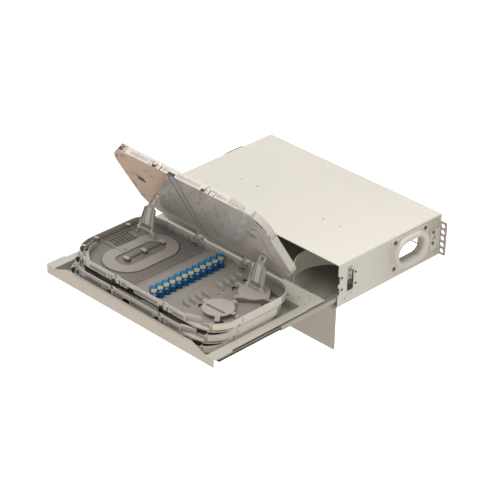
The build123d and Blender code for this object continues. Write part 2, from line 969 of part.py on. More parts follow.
def tray_prop_slots():
    """Slots in the floor that clear the tips of the props folded in the tray below."""
    slot_end = prop_axis_y - prop_length - tray_step
    for x in prop_positions:
        with Locations((x, slot_end - prop_slot_length / 2, tray_bottom)):
            Box(
                prop_finger_width + 2 * prop_slot_margin,
                prop_slot_length,
                2 * (tray_floor + platform_rise) + 1,
                mode=Mode.SUBTRACT,
            )


def tray_prop_seats():
    """Bearing bosses for the two prop arms."""
    for x in prop_positions:
        for end in (-1, 1):
            start = x + end * (prop_foot_width / 2 + side_gap + prop_boss_sheet / 2)
            with BuildSketch(side_plane(start - prop_boss_sheet / 2)) as outline:
                with Locations((prop_axis_y, (prop_axis_z + tray_floor_top) / 2)):
                    Rectangle(2 * prop_barrel_radius, prop_axis_z - tray_floor_top)
                with Locations((prop_axis_y, prop_axis_z)):
                    Circle(prop_barrel_radius)
                    Circle(prop_pin_radius, mode=Mode.SUBTRACT)
            extrude(outline.sketch, amount=prop_boss_sheet)


def adaptor_blocks(ends, width, height):
    """One block per adaptor, from one distance to another along its slanting middle line."""
    middle = (ends[0] + ends[1]) / 2
    turn = radians(adaptor_turn)
    for index in range(adaptor_count):
        y = adaptor_row_centre + (index - (adaptor_count - 1) / 2) * adaptor_pitch
        place = (
            adaptor_centre_x + middle * cos(turn),
            y + middle * sin(turn),
            tray_floor_top + height / 2,
        )
        with Locations(place):
            Box(ends[1] - ends[0], width, height, rotation=(0, 0, adaptor_turn))


def adaptor_sleeves():
    """Blue halves of the adaptors, on both sides of the middle."""
    inner = adaptor_core / 2
    outer = inner + adaptor_half
    with BuildPart() as sleeves:
        adaptor_blocks((inner, outer), adaptor_width, adaptor_height)
        adaptor_blocks((-outer, -inner), adaptor_width, adaptor_height)
    return sleeves.part


def adaptor_cores():
    """Cream middle blocks of the adaptors."""
    with BuildPart() as cores:
        adaptor_blocks((-adaptor_core / 2, adaptor_core / 2), core_width, core_height)
    return cores.part


def hinge_pins():
    """Two hinge pins of a tray, on its hinge axis."""
    length = knuckle_length + 2 * (lug_gap + lug_sheet)
    with BuildPart() as pins:
        for centre in hinge_positions:
            with BuildSketch(side_plane(centre - length / 2)):
                Circle(hinge_pin_radius)
            extrude(amount=length)
    return pins.part


# Prop arms
def underside_distance(y, z, angle):
    """Distance below the underside of the open tray, in the second tray's frame."""
    lift = radians(top_tray_lift)
    return -((y - tray_step) * sin(lift) + (z - tray_pitch) * cos(lift) - tray_bottom)


def prop_finger_length():
    """Length of the bent finger, which ends just below the open tray's underside."""
    lean = radians(prop_rest_angle)
    turn = radians(prop_rest_angle + prop_finger_turn)
    y = prop_axis_y - prop_length * cos(lean)
    z = prop_axis_z + prop_length * sin(lean)
    start = underside_distance(y, z, lean)
    closing = start - underside_distance(y - cos(turn), z + sin(turn), turn)
    return (start - prop_tip_gap) / closing - prop_sheet / 2


def prop_plane(x, distance, angle):
    """Plane of a prop arm in the second tray's frame, its Y along the arm."""
    lean = radians(prop_rest_angle)
    face = radians(angle)
    return Plane(
        origin=(
            x,
            prop_axis_y - distance * cos(lean),
            prop_axis_z + distance * sin(lean),
        ),
        x_dir=(1, 0, 0),
        z_dir=(0, -sin(face), -cos(face)),
    )


def prop_arm(x):
    """Tapered arm with ribbed edges, a bent windowed finger and a pivot barrel."""
    blade = prop_plane(x, 0, prop_rest_angle)
    finger = prop_plane(x, prop_length, prop_rest_angle + prop_finger_turn)
    foot = prop_foot_width / 2
    shoulder = prop_shoulder_width / 2
    neck = prop_finger_width / 2
    with BuildPart() as arm:
        with BuildSketch(blade.offset(-prop_sheet / 2)):
            with BuildLine():
                Polyline(
                    (-foot, -prop_heel),
                    (-foot, prop_knee),
                    (-shoulder, prop_shoulder),
                    (-neck, prop_neck),
                    (-neck, prop_length),
                    (neck, prop_length),
                    (neck, prop_neck),
                    (shoulder, prop_shoulder),
                    (foot, prop_knee),
                    (foot, -prop_heel),
                    close=True,
                )
            make_face()
            with Locations((0, 0)):
                Rectangle(prop_foot_width - 2 * prop_leg, 2 * prop_leg_height, mode=Mode.SUBTRACT)
        extrude(amount=prop_sheet)
        for side in (-1, 1):
            with BuildSketch(blade.offset(prop_sheet / 2)):
                with BuildLine():
                    Polyline(
                        (side * foot, prop_knee),
                        (side * shoulder, prop_shoulder),
                        (side * (shoulder - prop_rib_width), prop_shoulder),
                        (side * (foot - prop_rib_width), prop_knee),
                        close=True,
                    )
                make_face()
            extrude(amount=prop_rib)
        with BuildSketch(finger.offset(-prop_sheet / 2)):
            with Locations((0, prop_finger_length() / 2)):
                Rectangle(prop_finger_width, prop_finger_length())
                Rectangle(*prop_window, mode=Mode.SUBTRACT)
        extrude(amount=prop_sheet)
        with BuildSketch(side_plane(x - foot)):
            with Locations((prop_axis_y, prop_axis_z)):
                Circle(prop_barrel_radius)
        extrude(amount=prop_foot_width)
        with BuildSketch(side_plane(x - foot)):
            with Locations((prop_axis_y, prop_axis_z)):
                Circle(prop_pin_radius + running_gap)
        extrude(amount=prop_foot_width, mode=Mode.SUBTRACT)
    return arm.part


def prop_pins():
    """Pivot pins of both prop arms."""
    length = prop_foot_width + 2 * (side_gap + prop_boss_sheet)
    with BuildPart() as pins:
        for x in prop_positions:
            with BuildSketch(side_plane(x - length / 2)):
                with Locations((prop_axis_y, prop_axis_z)):
                    Circle(prop_pin_radius)
            extrude(amount=length)
    return pins.part


def main():
    """Build every piece and write it to the parts folder."""
    os.makedirs("parts", exist_ok=True)
    finish(housing_cover(), "housing_cover")
    finish(housing_base(), "housing_base")
    finish(front_door(), "front_door")
    finish(door_pins(), "door_hinge_pins")
    finish(ear_screws(), "ear_screws")
    finish(inlet_screws(), "inlet_screws")
    finish(latch_rivets(), "latch_rivets")
    for side, word in ((-1, "left"), (1, "right")):
        finish(rack_ear(side), f"rack_ear_{word}")
        finish(inlet_frame(side), f"inlet_frame_{word}")
        finish(inlet_bellmouth(side), f"inlet_bellmouth_{word}")
        finish(latch_plate(side), f"latch_plate_{word}")
        finish(latch_hook(side), f"latch_hook_{word}")
        finish(outer_slide(side), f"outer_slide_{word}")
        middle = channel(
            side,
            middle_slide_web,
            middle_slide_inner_edge,
            middle_slide_height,
            middle_slide_front,
        )
        finish(middle, f"middle_slide_{word}")
        inner = channel(
            side,
            drawer_wall,
            inner_slide_tip,
            inner_slide_height,
            inner_slide_front,
            web_inside=True,
        )
        finish(inner, f"inner_slide_{word}")
        finish(side_rail(side), f"side_rail_{word}")
    finish(drawer_base(), "drawer_base")
    finish(front_strip(), "drawer_front")
    finish(edge_trim(), "edge_trim")
    finish(rear_deck(), "rear_deck")
    finish(guide_band(), "guide_band")
    finish(hinge_brackets(), "hinge_brackets")
    sleeves = adaptor_sleeves()
    cores = adaptor_cores()
    pins = hinge_pins()
    for number in range(1, tray_count + 1):
        frame = tray_plane(number).location
        pan = tray_pan(number > 1, number == 2)
        finish(pan.moved(frame), f"tray_{number}_pan")
        finish(sleeves.moved(frame), f"tray_{number}_adaptor_sleeves")
        finish(cores.moved(frame), f"tray_{number}_adaptor_cores")
        finish(pins.moved(frame), f"tray_{number}_hinge_pins")
    frame = tray_plane(2).location
    for x, word in zip(prop_positions, ("left", "right")):
        finish(prop_arm(x).moved(frame), f"prop_arm_{word}")
    finish(prop_pins().moved(frame), "prop_arm_pins")


main()
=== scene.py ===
"""Looks of a fibre management shelf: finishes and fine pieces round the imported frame, in metres."""

from __future__ import annotations

import json
import logging
from dataclasses import dataclass, replace
from enum import Enum
from math import atan2, cos, hypot, pi, radians, sin
from typing import Any, Iterable, Mapping, Sequence

import bmesh
import bpy
from mathutils import Matrix, Vector

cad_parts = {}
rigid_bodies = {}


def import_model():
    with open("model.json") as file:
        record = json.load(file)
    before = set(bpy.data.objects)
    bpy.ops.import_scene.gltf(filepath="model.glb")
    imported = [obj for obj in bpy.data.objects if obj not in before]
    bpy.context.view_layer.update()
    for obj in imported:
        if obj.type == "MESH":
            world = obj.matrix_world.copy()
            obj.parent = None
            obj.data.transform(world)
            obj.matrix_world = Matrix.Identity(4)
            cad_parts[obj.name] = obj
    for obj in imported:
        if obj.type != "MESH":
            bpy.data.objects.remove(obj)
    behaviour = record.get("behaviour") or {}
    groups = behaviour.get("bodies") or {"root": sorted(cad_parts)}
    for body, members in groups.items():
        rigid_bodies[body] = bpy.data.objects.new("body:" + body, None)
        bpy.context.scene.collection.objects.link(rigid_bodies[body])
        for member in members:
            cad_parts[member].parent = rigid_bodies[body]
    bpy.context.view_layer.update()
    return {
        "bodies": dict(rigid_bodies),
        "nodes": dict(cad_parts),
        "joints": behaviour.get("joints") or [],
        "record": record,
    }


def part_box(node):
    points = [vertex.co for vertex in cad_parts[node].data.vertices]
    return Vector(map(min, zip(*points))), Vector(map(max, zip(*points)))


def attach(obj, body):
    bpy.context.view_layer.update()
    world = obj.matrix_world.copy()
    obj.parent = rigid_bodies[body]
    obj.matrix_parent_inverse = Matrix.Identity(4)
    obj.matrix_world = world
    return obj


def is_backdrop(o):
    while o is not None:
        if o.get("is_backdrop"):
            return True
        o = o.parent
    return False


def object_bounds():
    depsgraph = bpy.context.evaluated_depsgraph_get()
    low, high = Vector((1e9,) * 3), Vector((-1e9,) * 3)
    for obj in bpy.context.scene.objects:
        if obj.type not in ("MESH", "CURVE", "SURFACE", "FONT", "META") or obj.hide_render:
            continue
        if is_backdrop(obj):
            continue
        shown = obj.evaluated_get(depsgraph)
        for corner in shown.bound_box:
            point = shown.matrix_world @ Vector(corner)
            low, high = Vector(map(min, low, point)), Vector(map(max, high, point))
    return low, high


Point = Sequence[float]
Span = tuple[float, float]
Socket = bpy.types.NodeSocket
Tree = bpy.types.NodeTree

LOG = logging.getLogger("shelf")
MM = 0.001
SHARP_ANGLE = radians(38)
WANDER_MM = 55.0
SHEEN_SPREAD = 0.12
BUMP_STRENGTH = 0.6
# The mix node's inputs and outputs share their names, so they are told apart by number
FLOAT_A, FLOAT_B, COLOUR_A, COLOUR_B, COLOUR_OUT = 2, 3, 6, 7, 2


class Side(Enum):
    """A side of the shelf, seen from the front."""

    LEFT = -1
    RIGHT = 1

    @property
    def word(self) -> str:
        """The side's name as the nodes spell it."""
        return self.name.lower()


class Pattern(Enum):
    """How a surface was made, which sets the texture under its colour."""

    POWDER = "powder coat"
    MOULDED = "spark-eroded mould"
    BRUSHED = "rolled or brushed metal"
    SPANGLE = "zinc crystals"


def linear(hex_colour: str) -> tuple[float, float, float, float]:
    """Turn an sRGB hex colour to linear light.

    Args:
        hex_colour: Six hex digits with a leading hash.

    Returns:
        Red, green, blue and an alpha of one.
    """
    channels = [int(hex_colour[i : i + 2], 16) / 255 for i in (1, 3, 5)]
    light = [c / 12.92 if c <= 0.04045 else ((c + 0.055) / 1.055) ** 2.4 for c in channels]
    return (light[0], light[1], light[2], 1.0)


def add_node(
    tree: Tree,
    kind: str,
    settings: Mapping[str | int, Any] | None = None,
    links: Mapping[str | int, Socket] | None = None,
) -> bpy.types.Node:
    """Add one node with its settings and links.

    Args:
        tree: The node tree that gets the node.
        kind: Blender's name of the node's type.
        settings: Values for the node's own inputs or attributes, by name or input number.
        links: Output sockets to join to the node's inputs, by input name or number.

    Returns:
        The new node.
    """
    node = tree.nodes.new(kind)
    for name, value in (settings or {}).items():
        if isinstance(name, int) or name in node.inputs:
            node.inputs[name].default_value = value
        else:
            setattr(node, name, value)
    for name, socket in (links or {}).items():
        tree.links.new(socket, node.inputs[name])
    return node


def add_object(name: str, data: bpy.types.ID) -> bpy.types.Object:
    """Put new data in the scene as an object at the origin.

    Args:
        name: The object's name.
        data: Its mesh, lamp or camera.

    Returns:
        The object.
    """
    made = bpy.data.objects.new(name, data)
    bpy.context.scene.collection.objects.link(made)
    return made


def bare_tree(owner: bpy.types.Material | bpy.types.World) -> Tree:
    """Switch a material or world to nodes and empty its tree.

    Args:
        owner: The material or world.

    Returns:
        Its empty node tree.
    """
    owner.use_nodes = True
    owner.node_tree.nodes.clear()
    return owner.node_tree


@dataclass(frozen=True)
class Zone:
    """A stretch of a surface, bounded by planes, that has a colour and gloss of its own.

    Attributes:
        colour: Its colour, sRGB hex.
        planes: Normal, distance and softness of each edge, in mm. The zone lies beyond them all.
        gloss: Roughness in the zone, or none to keep that of the finish.
        mirror: How much the zone mirrors, one half for a plain dielectric.
    """

    colour: str
    planes: tuple[tuple[float, float, float, float, float], ...]
    gloss: float | None = None
    mirror: float = 0.5

    def mask(self, tree: Tree, place: Socket) -> Socket:
        """Tell where the zone is.

        Args:
            tree: The material's node tree.
            place: The point in the finish's own frame.

        Returns:
            A socket that is one inside the zone.
        """
        inside = None
        for x, y, z, distance, soft in self.planes:
            normal = {"operation": "DOT_PRODUCT", 1: (x, y, z)}
            along = add_node(tree, "ShaderNodeVectorMath", normal, {0: place})
            edge = {"From Min": (distance - soft / 2) * MM, "From Max": (distance + soft / 2) * MM}
            step = add_node(tree, "ShaderNodeMapRange", edge, {"Value": along.outputs["Value"]})
            beyond = step.outputs["Result"]
            if inside is not None:
                product = {"operation": "MULTIPLY"}
                both = add_node(tree, "ShaderNodeMath", product, {0: inside, 1: beyond})
                beyond = both.outputs[0]
            inside = beyond
        return inside


@dataclass(frozen=True)
class Finish:
    """One real finish: what the surface is made of and how it was made.

    Attributes:
        name: Common name of the finish.
        slot: Material slot of the record that it stands for; not used.
        colour: Base colour, sRGB hex.
        roughness: Middle of the surface's roughness.
        pattern: How the surface was made.
        grain_mm: Size of the pattern's grain.
        relief_mm: Height of the grain.
        tone: How far the colour wanders, as a share of its brightness.
        metallic: One for bare metal.
        ior: Index of refraction, left at the default on metal.
        mirror: How much it mirrors, one half for a plain dielectric.
        zones: Stretches of another colour, later ones over earlier ones.
        origin: Origin of the frame of the zones, in metres.
        lift: Turn of that frame about X, in degrees.
    """

    name: str
    slot: str
    colour: str
    roughness: float
    pattern: Pattern = Pattern.MOULDED
    grain_mm: float = 0.9
    relief_mm: float = 0.02
    tone: float = 0.02
    metallic: float = 0.0
    ior: float = 1.5
    mirror: float = 0.5
    zones: tuple[Zone, ...] = ()
    origin: tuple[float, float, float] = (0.0, 0.0, 0.0)
    lift: float = 0.0

    def texture(self, tree: Tree) -> Socket:
        """Draw the grain of this finish.

        Args:
            tree: The material's node tree.

        Returns:
            The socket that carries the grain's height.
        """
        place = add_node(tree, "ShaderNodeTexCoord").outputs["Object"]
        stretch = (0.04, 1.0, 1.0) if self.pattern is Pattern.BRUSHED else (1.0, 1.0, 1.0)
        mapped = add_node(tree, "ShaderNodeMapping", {"Scale": stretch}, {"Vector": place})
        scale = 1.0 / (self.grain_mm * MM)
        links = {"Vector": mapped.outputs["Vector"]}
        if self.pattern is Pattern.SPANGLE:
            cells = add_node(tree, "ShaderNodeTexVoronoi", {"Scale": scale}, links)
            return cells.outputs["Distance"]
        noise = add_node(tree, "ShaderNodeTexNoise", {"Scale": scale, "Detail": 3.0}, links)
        return noise.outputs["Fac"]

    def material(self) -> bpy.types.Material:
        """Make the node material of this finish, once for all its pieces.

        Returns:
            The material.
        """
        known = bpy.data.materials.get(self.name)
        if known:
            return known
        made = bpy.data.materials.new(self.name)
        tree = bare_tree(made)
        grain = self.texture(tree)
        place = add_node(tree, "ShaderNodeTexCoord").outputs["Object"]
        low, high = self.roughness * (1 - SHEEN_SPREAD), self.roughness * (1 + SHEEN_SPREAD)
        sheen = {"To Min": low, "To Max": min(1.0, high)}
        gloss = add_node(tree, "ShaderNodeMapRange", sheen, {"Value": grain}).outputs["Result"]
        layer = {"tint": self._tint(tree, place), "sheen": gloss, "height": grain}
        turn = (-radians(self.lift), 0, 0)
        frame = {"vector_type": "TEXTURE", "Location": self.origin, "Rotation": turn}
        framed = add_node(tree, "ShaderNodeMapping", frame, {"Vector": place}).outputs["Vector"]
        for zone in self.zones:
            self._lay(tree, zone, zone.mask(tree, framed), layer)
        relief = {"Strength": BUMP_STRENGTH, "Distance": self.relief_mm * MM}
        bump = add_node(tree, "ShaderNodeBump", relief, {"Height": layer["height"]})
        links = {
            "Base Color": layer["tint"],
            "Roughness": layer["sheen"],
            "Normal": bump.outputs["Normal"],
        }
        if "mirror" in layer:
            links["Specular IOR Level"] = layer["mirror"]
        body = {"Metallic": self.metallic, "IOR": self.ior, "Specular IOR Level": self.mirror}
        shader = add_node(tree, "ShaderNodeBsdfPrincipled", body, links)
        add_node(tree, "ShaderNodeOutputMaterial", {}, {"Surface": shader.outputs["BSDF"]})
        return made

    def _tint(self, tree: Tree, place: Socket) -> Socket:
        """Let the base colour wander a little, as on any real surface.

        Args:
            tree: The material's node tree.
            place: The point in the piece's own frame.

        Returns:
            The socket that carries the colour.
        """
        broad = {"Scale": 1.0 / (WANDER_MM * MM), "Detail": 2.0}
        wander = add_node(tree, "ShaderNodeTexNoise", broad, {"Vector": place})
        share = {
            "From Min": 0.3,
            "From Max": 0.7,
            "To Min": 1 - self.tone,
            "To Max": 1 + self.tone,
        }
        shade = add_node(tree, "ShaderNodeMapRange", share, {"Value": wander.outputs["Fac"]})
        mix = {"data_type": "RGBA", "blend_type": "MULTIPLY", 0: 1.0, COLOUR_A: linear(self.colour)}
        tint = add_node(tree, "ShaderNodeMix", mix, {COLOUR_B: shade.outputs["Result"]})
        return tint.outputs[COLOUR_OUT]

    def _lay(self, tree: Tree, zone: Zone, inside: Socket, layer: dict[str, Socket]) -> None:
        """Lay a zone over what is under it.

        Args:
            tree: The material's node tree.
            zone: The zone.
            inside: Where the zone is.
            layer: Colour, roughness, grain and mirroring so far, changed in place.
        """
        colour = {"data_type": "RGBA", COLOUR_B: linear(zone.colour)}
        over = add_node(tree, "ShaderNodeMix", colour, {0: inside, COLOUR_A: layer["tint"]})
        layer["tint"] = over.outputs[COLOUR_OUT]
        if zone.gloss is None:
            return
        for name, value in (("sheen", zone.gloss), ("height", 0.0), ("mirror", zone.mirror)):
            links = {0: inside}
            if name in layer:
                links[FLOAT_A] = layer[name]
            mix = add_node(tree, "ShaderNodeMix", {FLOAT_A: self.mirror, FLOAT_B: value}, links)
            layer[name] = mix.outputs[0]


@dataclass(frozen=True)
class PowderCoat(Finish):
    """Powder coat on sheet, whose faint orange peel softens the highlight."""

    pattern: Pattern = Pattern.POWDER
    grain_mm: float = 1.6


@dataclass(frozen=True)
class Metal(Finish):
    """Bare or plated metal, whose colour shows in what it mirrors."""

    pattern: Pattern = Pattern.SPANGLE
    grain_mm: float = 0.8
    relief_mm: float = 0.01
    tone: float = 0.05
    metallic: float = 1.0


@dataclass(frozen=True)
class Moulding(Finish):
    """Moulded plastic with the fine texture of its tool, which kills sharp highlights."""

    ior: float = 1.49


@dataclass(frozen=True)
class AdaptorPlastic(Moulding):
    """Through-coloured plastic of the adaptors, a little glossier on its edges."""

    grain_mm: float = 0.7
    tone: float = 0.05


# Pale sheets of the housing in one powder coat, painted as lit and shaded copies: base, door, strip,
# drawer and rail differ only by the light and shade painted into their colours
COVER_COAT = PowderCoat("powder coat off-white", "cover", "#E6E1D5", 0.48, tone=0.015)
BASE_COAT = PowderCoat("powder coat off-white base", "housing_base", "#D4CEC2", 0.5)
DOOR_COAT = PowderCoat("powder coat warm grey door", "door", "#B9ADA1", 0.48)
STRIP_COAT = PowderCoat("powder coat rose-grey strip", "drawer", "#CBBFB2", 0.5)
DRAWER_COAT = PowderCoat("powder coat pale drawer", "drawer", "#C7C2B6", 0.45)
RAIL_COAT = PowderCoat("powder coat pale rail", "drawer", "#CAC6BA", 0.45)
# The ear's leg catches the light, while its rack face is turned away from it
EAR_COAT = PowderCoat(
    "powder coat grey bracket",
    "ear",
    "#B4ABA0",
    0.45,
    grain_mm=1.4,
    tone=0.03,
    zones=(Zone("#DAD4C8", ((1, 0, 0, -226.6, 0.2), (-1, 0, 0, -226.6, 0.2))),),
)
# The inlet's frame is smoother than the sheet behind it, so it shines a little
FRAME_COAT = PowderCoat(
    "satin grey sheet", "inlet_frame", "#DCD7CD", 0.35, grain_mm=1.2, relief_mm=0.015, tone=0.03
)
# Rolled steel with a thin zinc layer draws its highlight out along the rail
SLIDE_STEEL = Metal(
    "zinc-plated cold-rolled steel", "slide", "#B2AEA1", 0.4, Pattern.BRUSHED, 0.6, metallic=0.6
)
# Small bright and dark points of metal break up the pale sheet
SCREW_STEEL = Metal("bright zinc screw", "screw", "#B9B9B2", 0.3)
LATCH_ZINC = Metal("bright spring zinc", "latch", "#A9AFAE", 0.34, grain_mm=1.2, metallic=0.7)
HOOK_STEEL = Metal(
    "blackened spring steel", "latch", "#4B4A47", 0.4, Pattern.BRUSHED, metallic=0.4
)
RIVET_BRASS = Metal("dull brass rivet", "screw", "#8D8068", 0.4, metallic=0.5)
# Chromated screws are darker than the pale sheet that they hold
DARK_SCREW = Metal("dark chromated screw", "screw", "#7A756D", 0.35, metallic=0.8)
# Springs have a blue temper colour, and ground pins a short bright line
SPRING_STEEL = Metal(
    "bluish spring steel", "pin", "#A9ACB8", 0.3, Pattern.BRUSHED, 0.4, 0.005, metallic=0.8
)
PIN_STEEL = Metal("ground steel pin", "pin", "#9A9A96", 0.3, Pattern.BRUSHED, 0.3, 0.005)
# The glossy mouth has a bright lip and a shaded upper throat
MOUTH_PLASTIC = Moulding(
    "glossy moulded beige",
    "bellmouth",
    "#DDD7CD",
    0.22,
    grain_mm=1.0,
    relief_mm=0.01,
    zones=(Zone("#8F887F", ((-1, 0, 0, 226.0, 0.5), (0, 0, 1, 30.0, 6.0))),),
)
# One grey moulding painted in lit and shaded copies: walls, rims, fins, outer sides and the panel are
# painted lighter than the floor, as they catch more light
TRAY_PLASTIC = Moulding("moulded tray grey", "tray", "#99938D", 0.38, tone=0.03)
TRAY_LIGHT = Moulding("moulded tray grey, lit wall", "tray", "#C9C2B9", 0.36)
TRAY_PALE = Moulding("moulded tray grey, outer side", "tray", "#DDD6CB", 0.36)
RIM_PLASTIC = Moulding("moulded tray grey, worn rim", "tray", "#B4AEA6", 0.36)
SAIL_PLASTIC = Moulding("moulded tray grey, fin", "tray", "#ABA59E", 0.38)
PANEL_PEACH = Moulding("smooth moulded panel", "tray", "#F0DFCE", 0.3, relief_mm=0.01)
# The props are a softer grey than the trays, with a paler raised middle
PROP_PLASTIC = Moulding("moulded prop grey", "prop", "#A8A39C", 0.32, relief_mm=0.015, tone=0.03)
PROP_LIGHT = Moulding("moulded prop grey, raised", "prop", "#C3BEB6", 0.3, relief_mm=0.015)
# Unfilled nylon is a little yellow and soft to look at
TRIM_NYLON = Moulding(
    "natural nylon edging", "trim", "#A9A398", 0.4, grain_mm=0.8, tone=0.04, ior=1.53
)
# The bent band is matt and a little yellow beside the trays
BAND_PLASTIC = Moulding(
    "flexible grey band", "band", "#CFCBBA", 0.42, grain_mm=1.4, relief_mm=0.01, tone=0.03, ior=1.5
)
# The adaptors are the one strong colour: a lit blue end and a deep blue end in shade
SLEEVE_BLUE = AdaptorPlastic("blue adaptor plastic", "adaptor_blue", "#1083BF", 0.35, mirror=0.3)
SLEEVE_DEEP = replace(SLEEVE_BLUE, name="deep blue adaptor plastic", colour="#045885")
# The sleeve node is one blue, with its near end painted in shade like the deep caps
SLEEVE_NODE = replace(
    SLEEVE_BLUE,
    name="two-tone blue adaptor plastic",
    colour="#0F78B2",
    zones=(Zone("#034067", ((1, 0, 0, 21.0, 1.0),)),),
)
# Their cream middles and grey latches make a pale stripe between the blue ends
CORE_CREAM = AdaptorPlastic("cream adaptor plastic", "adaptor_cream", "#B9B58C", 0.4)
LATCH_GREY = AdaptorPlastic("grey adaptor latch", "adaptor_cream", "#BDB9B2", 0.35)
# Clips and combs are the lightest small pieces on a tray
CLIP_WHITE = Moulding("white clip plastic", "tray", "#C4C0B9", 0.35, grain_mm=0.7)
# What lies in a deep slot gets almost no light, so it is drawn as a dark matt grey, and what lies in
# half shade as a mid grey: both are painted shade
SHADOW_SLOT = Moulding("dark slot", "tray", "#3E3C39", 0.6)
SHADOW_GREY = Moulding("half-dark moulding", "tray", "#7B7671", 0.5, tone=0.03)

NODE_FINISHES: tuple[tuple[str, Finish], ...] = (
    ("front_door", DOOR_COAT),
    ("rack_ear", EAR_COAT),
    ("_screws", DARK_SCREW),
    ("rivets", RIVET_BRASS),
    ("latch_hook", HOOK_STEEL),
    ("latch_", LATCH_ZINC),
    ("inlet_frame", FRAME_COAT),
    ("bellmouth", MOUTH_PLASTIC),
    ("_slide_", SLIDE_STEEL),
    ("edge_trim", TRIM_NYLON),
    ("guide_band", BAND_PLASTIC),
    ("sleeves", SLEEVE_NODE),
    ("cores", CORE_CREAM),
    ("pins", PIN_STEEL),
    ("prop_arm", PROP_PLASTIC),
    ("drawer_front", STRIP_COAT),
    ("rail", RAIL_COAT),
    ("drawer", DRAWER_COAT),
    ("deck", DRAWER_COAT),
    ("brackets", DRAWER_COAT),
)


def sheet_finish(coat: Finish, dark: str) -> Finish:
    """Paint shade on the inside of the housing, where hardly any light reaches, shade on the rear of
    the right side and light on the near part of the top.

    Args:
        coat: The coat of the outside.
        dark: Colour of the painted shade inside, sRGB hex.

    Returns:
        The coat with its painted shade and light.
    """
    low, high = (tuple(value / MM for value in corner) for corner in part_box("housing_cover"))
    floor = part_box("housing_base")[0][2] / MM
    skin = 1.3
    soft = 0.2
    inside = (
        (1, 0, 0, low[0] + skin, soft),
        (-1, 0, 0, skin - high[0], soft),
        (0, 1, 0, low[1] + 1.6, soft),
        (0, 0, 1, floor + skin, soft),
        (0, 0, -1, skin - high[2], soft),
    )
    # Painted shade towards the rear of the right side, a painted highlight on the near right of the
    # top, and painted shade all over the inside
    rear_side_shade = ((1, 0, 0, high[0] - 0.2, soft), (0, 1, 0, -95.0, 230.0))
    near_top_highlight = ((0, 0, 1, high[2] - 0.2, soft), (0.8, -0.6, 0, 170.0, 300.0))
    zones = (Zone("#BDB6A9", rear_side_shade), Zone("#F3EEE2", near_top_highlight), Zone(dark, inside))
    return replace(coat, zones=zones)


def tray_finish(tray: TrayFittings) -> Finish:
    """Paint light and shade into a tray's moulding: shade on the floor with a shadow on its left
    part, light on the rim, front and outer sides, and a polished underside.

    Args:
        tray: The tray.

    Returns:
        The finish of its pan.
    """
    lit = tray.number == 1
    under = (0, 0, -1, -tray.bottom - 0.05, 0.08)
    ground = (0, 0, -1, -tray.floor - 0.3, 0.3)
    side = tray.half_width - 0.4
    outer = "#D6CFC4" if lit else "#E7E0D5"
    # Painted light on the upper walls and rim, painted shade on the floor with a painted shadow on
    # its left part, painted light on the front and the outer sides; the polished underside is lighter
    # towards the right
    zones = (
        Zone("#CFC8BF" if lit else "#C2BCB3", ((0, 0, 1, -3.8, 7.6),)),
        Zone("#77726D", (ground,)),
        Zone("#A09A93", (ground, (1, 0, 0, -26.0, 18.0))),
        Zone("#E6DFD5" if lit else "#D0CAC2", ((0, -1, 0, -tray.front - 0.3, 0.1),)),
        Zone(outer, ((1, 0, 0, side, 0.1),)),
        Zone(outer, ((-1, 0, 0, side, 0.1),)),
        Zone("#BDB7B1", (under,), 0.01, 1.5),
        Zone("#CAC2BA", (under, (1, 0, 0, 80.0, 170.0)), 0.01, 1.5),
        Zone("#C29A79", (under, (-0.788, -0.615, 0, 148.5, 0.6)), 0.3, 0.15),
    )
    # The open tray is painted as a lit copy, lighter than the trays below it
    return replace(
        TRAY_PLASTIC,
        name=f"moulded tray grey {tray.number}",
        colour="#BDB7AF" if lit else "#A09A93",
        ior=1.585,
        zones=zones,
        origin=(0.0, tray.axis[1], tray.axis[2]),
        lift=tray.lift,
    )


def finish_of(node: str) -> Finish:
    """The finish of a CAD node, the first whose key is in the node's name."""
    return next(finish for key, finish in NODE_FINISHES if key in node)


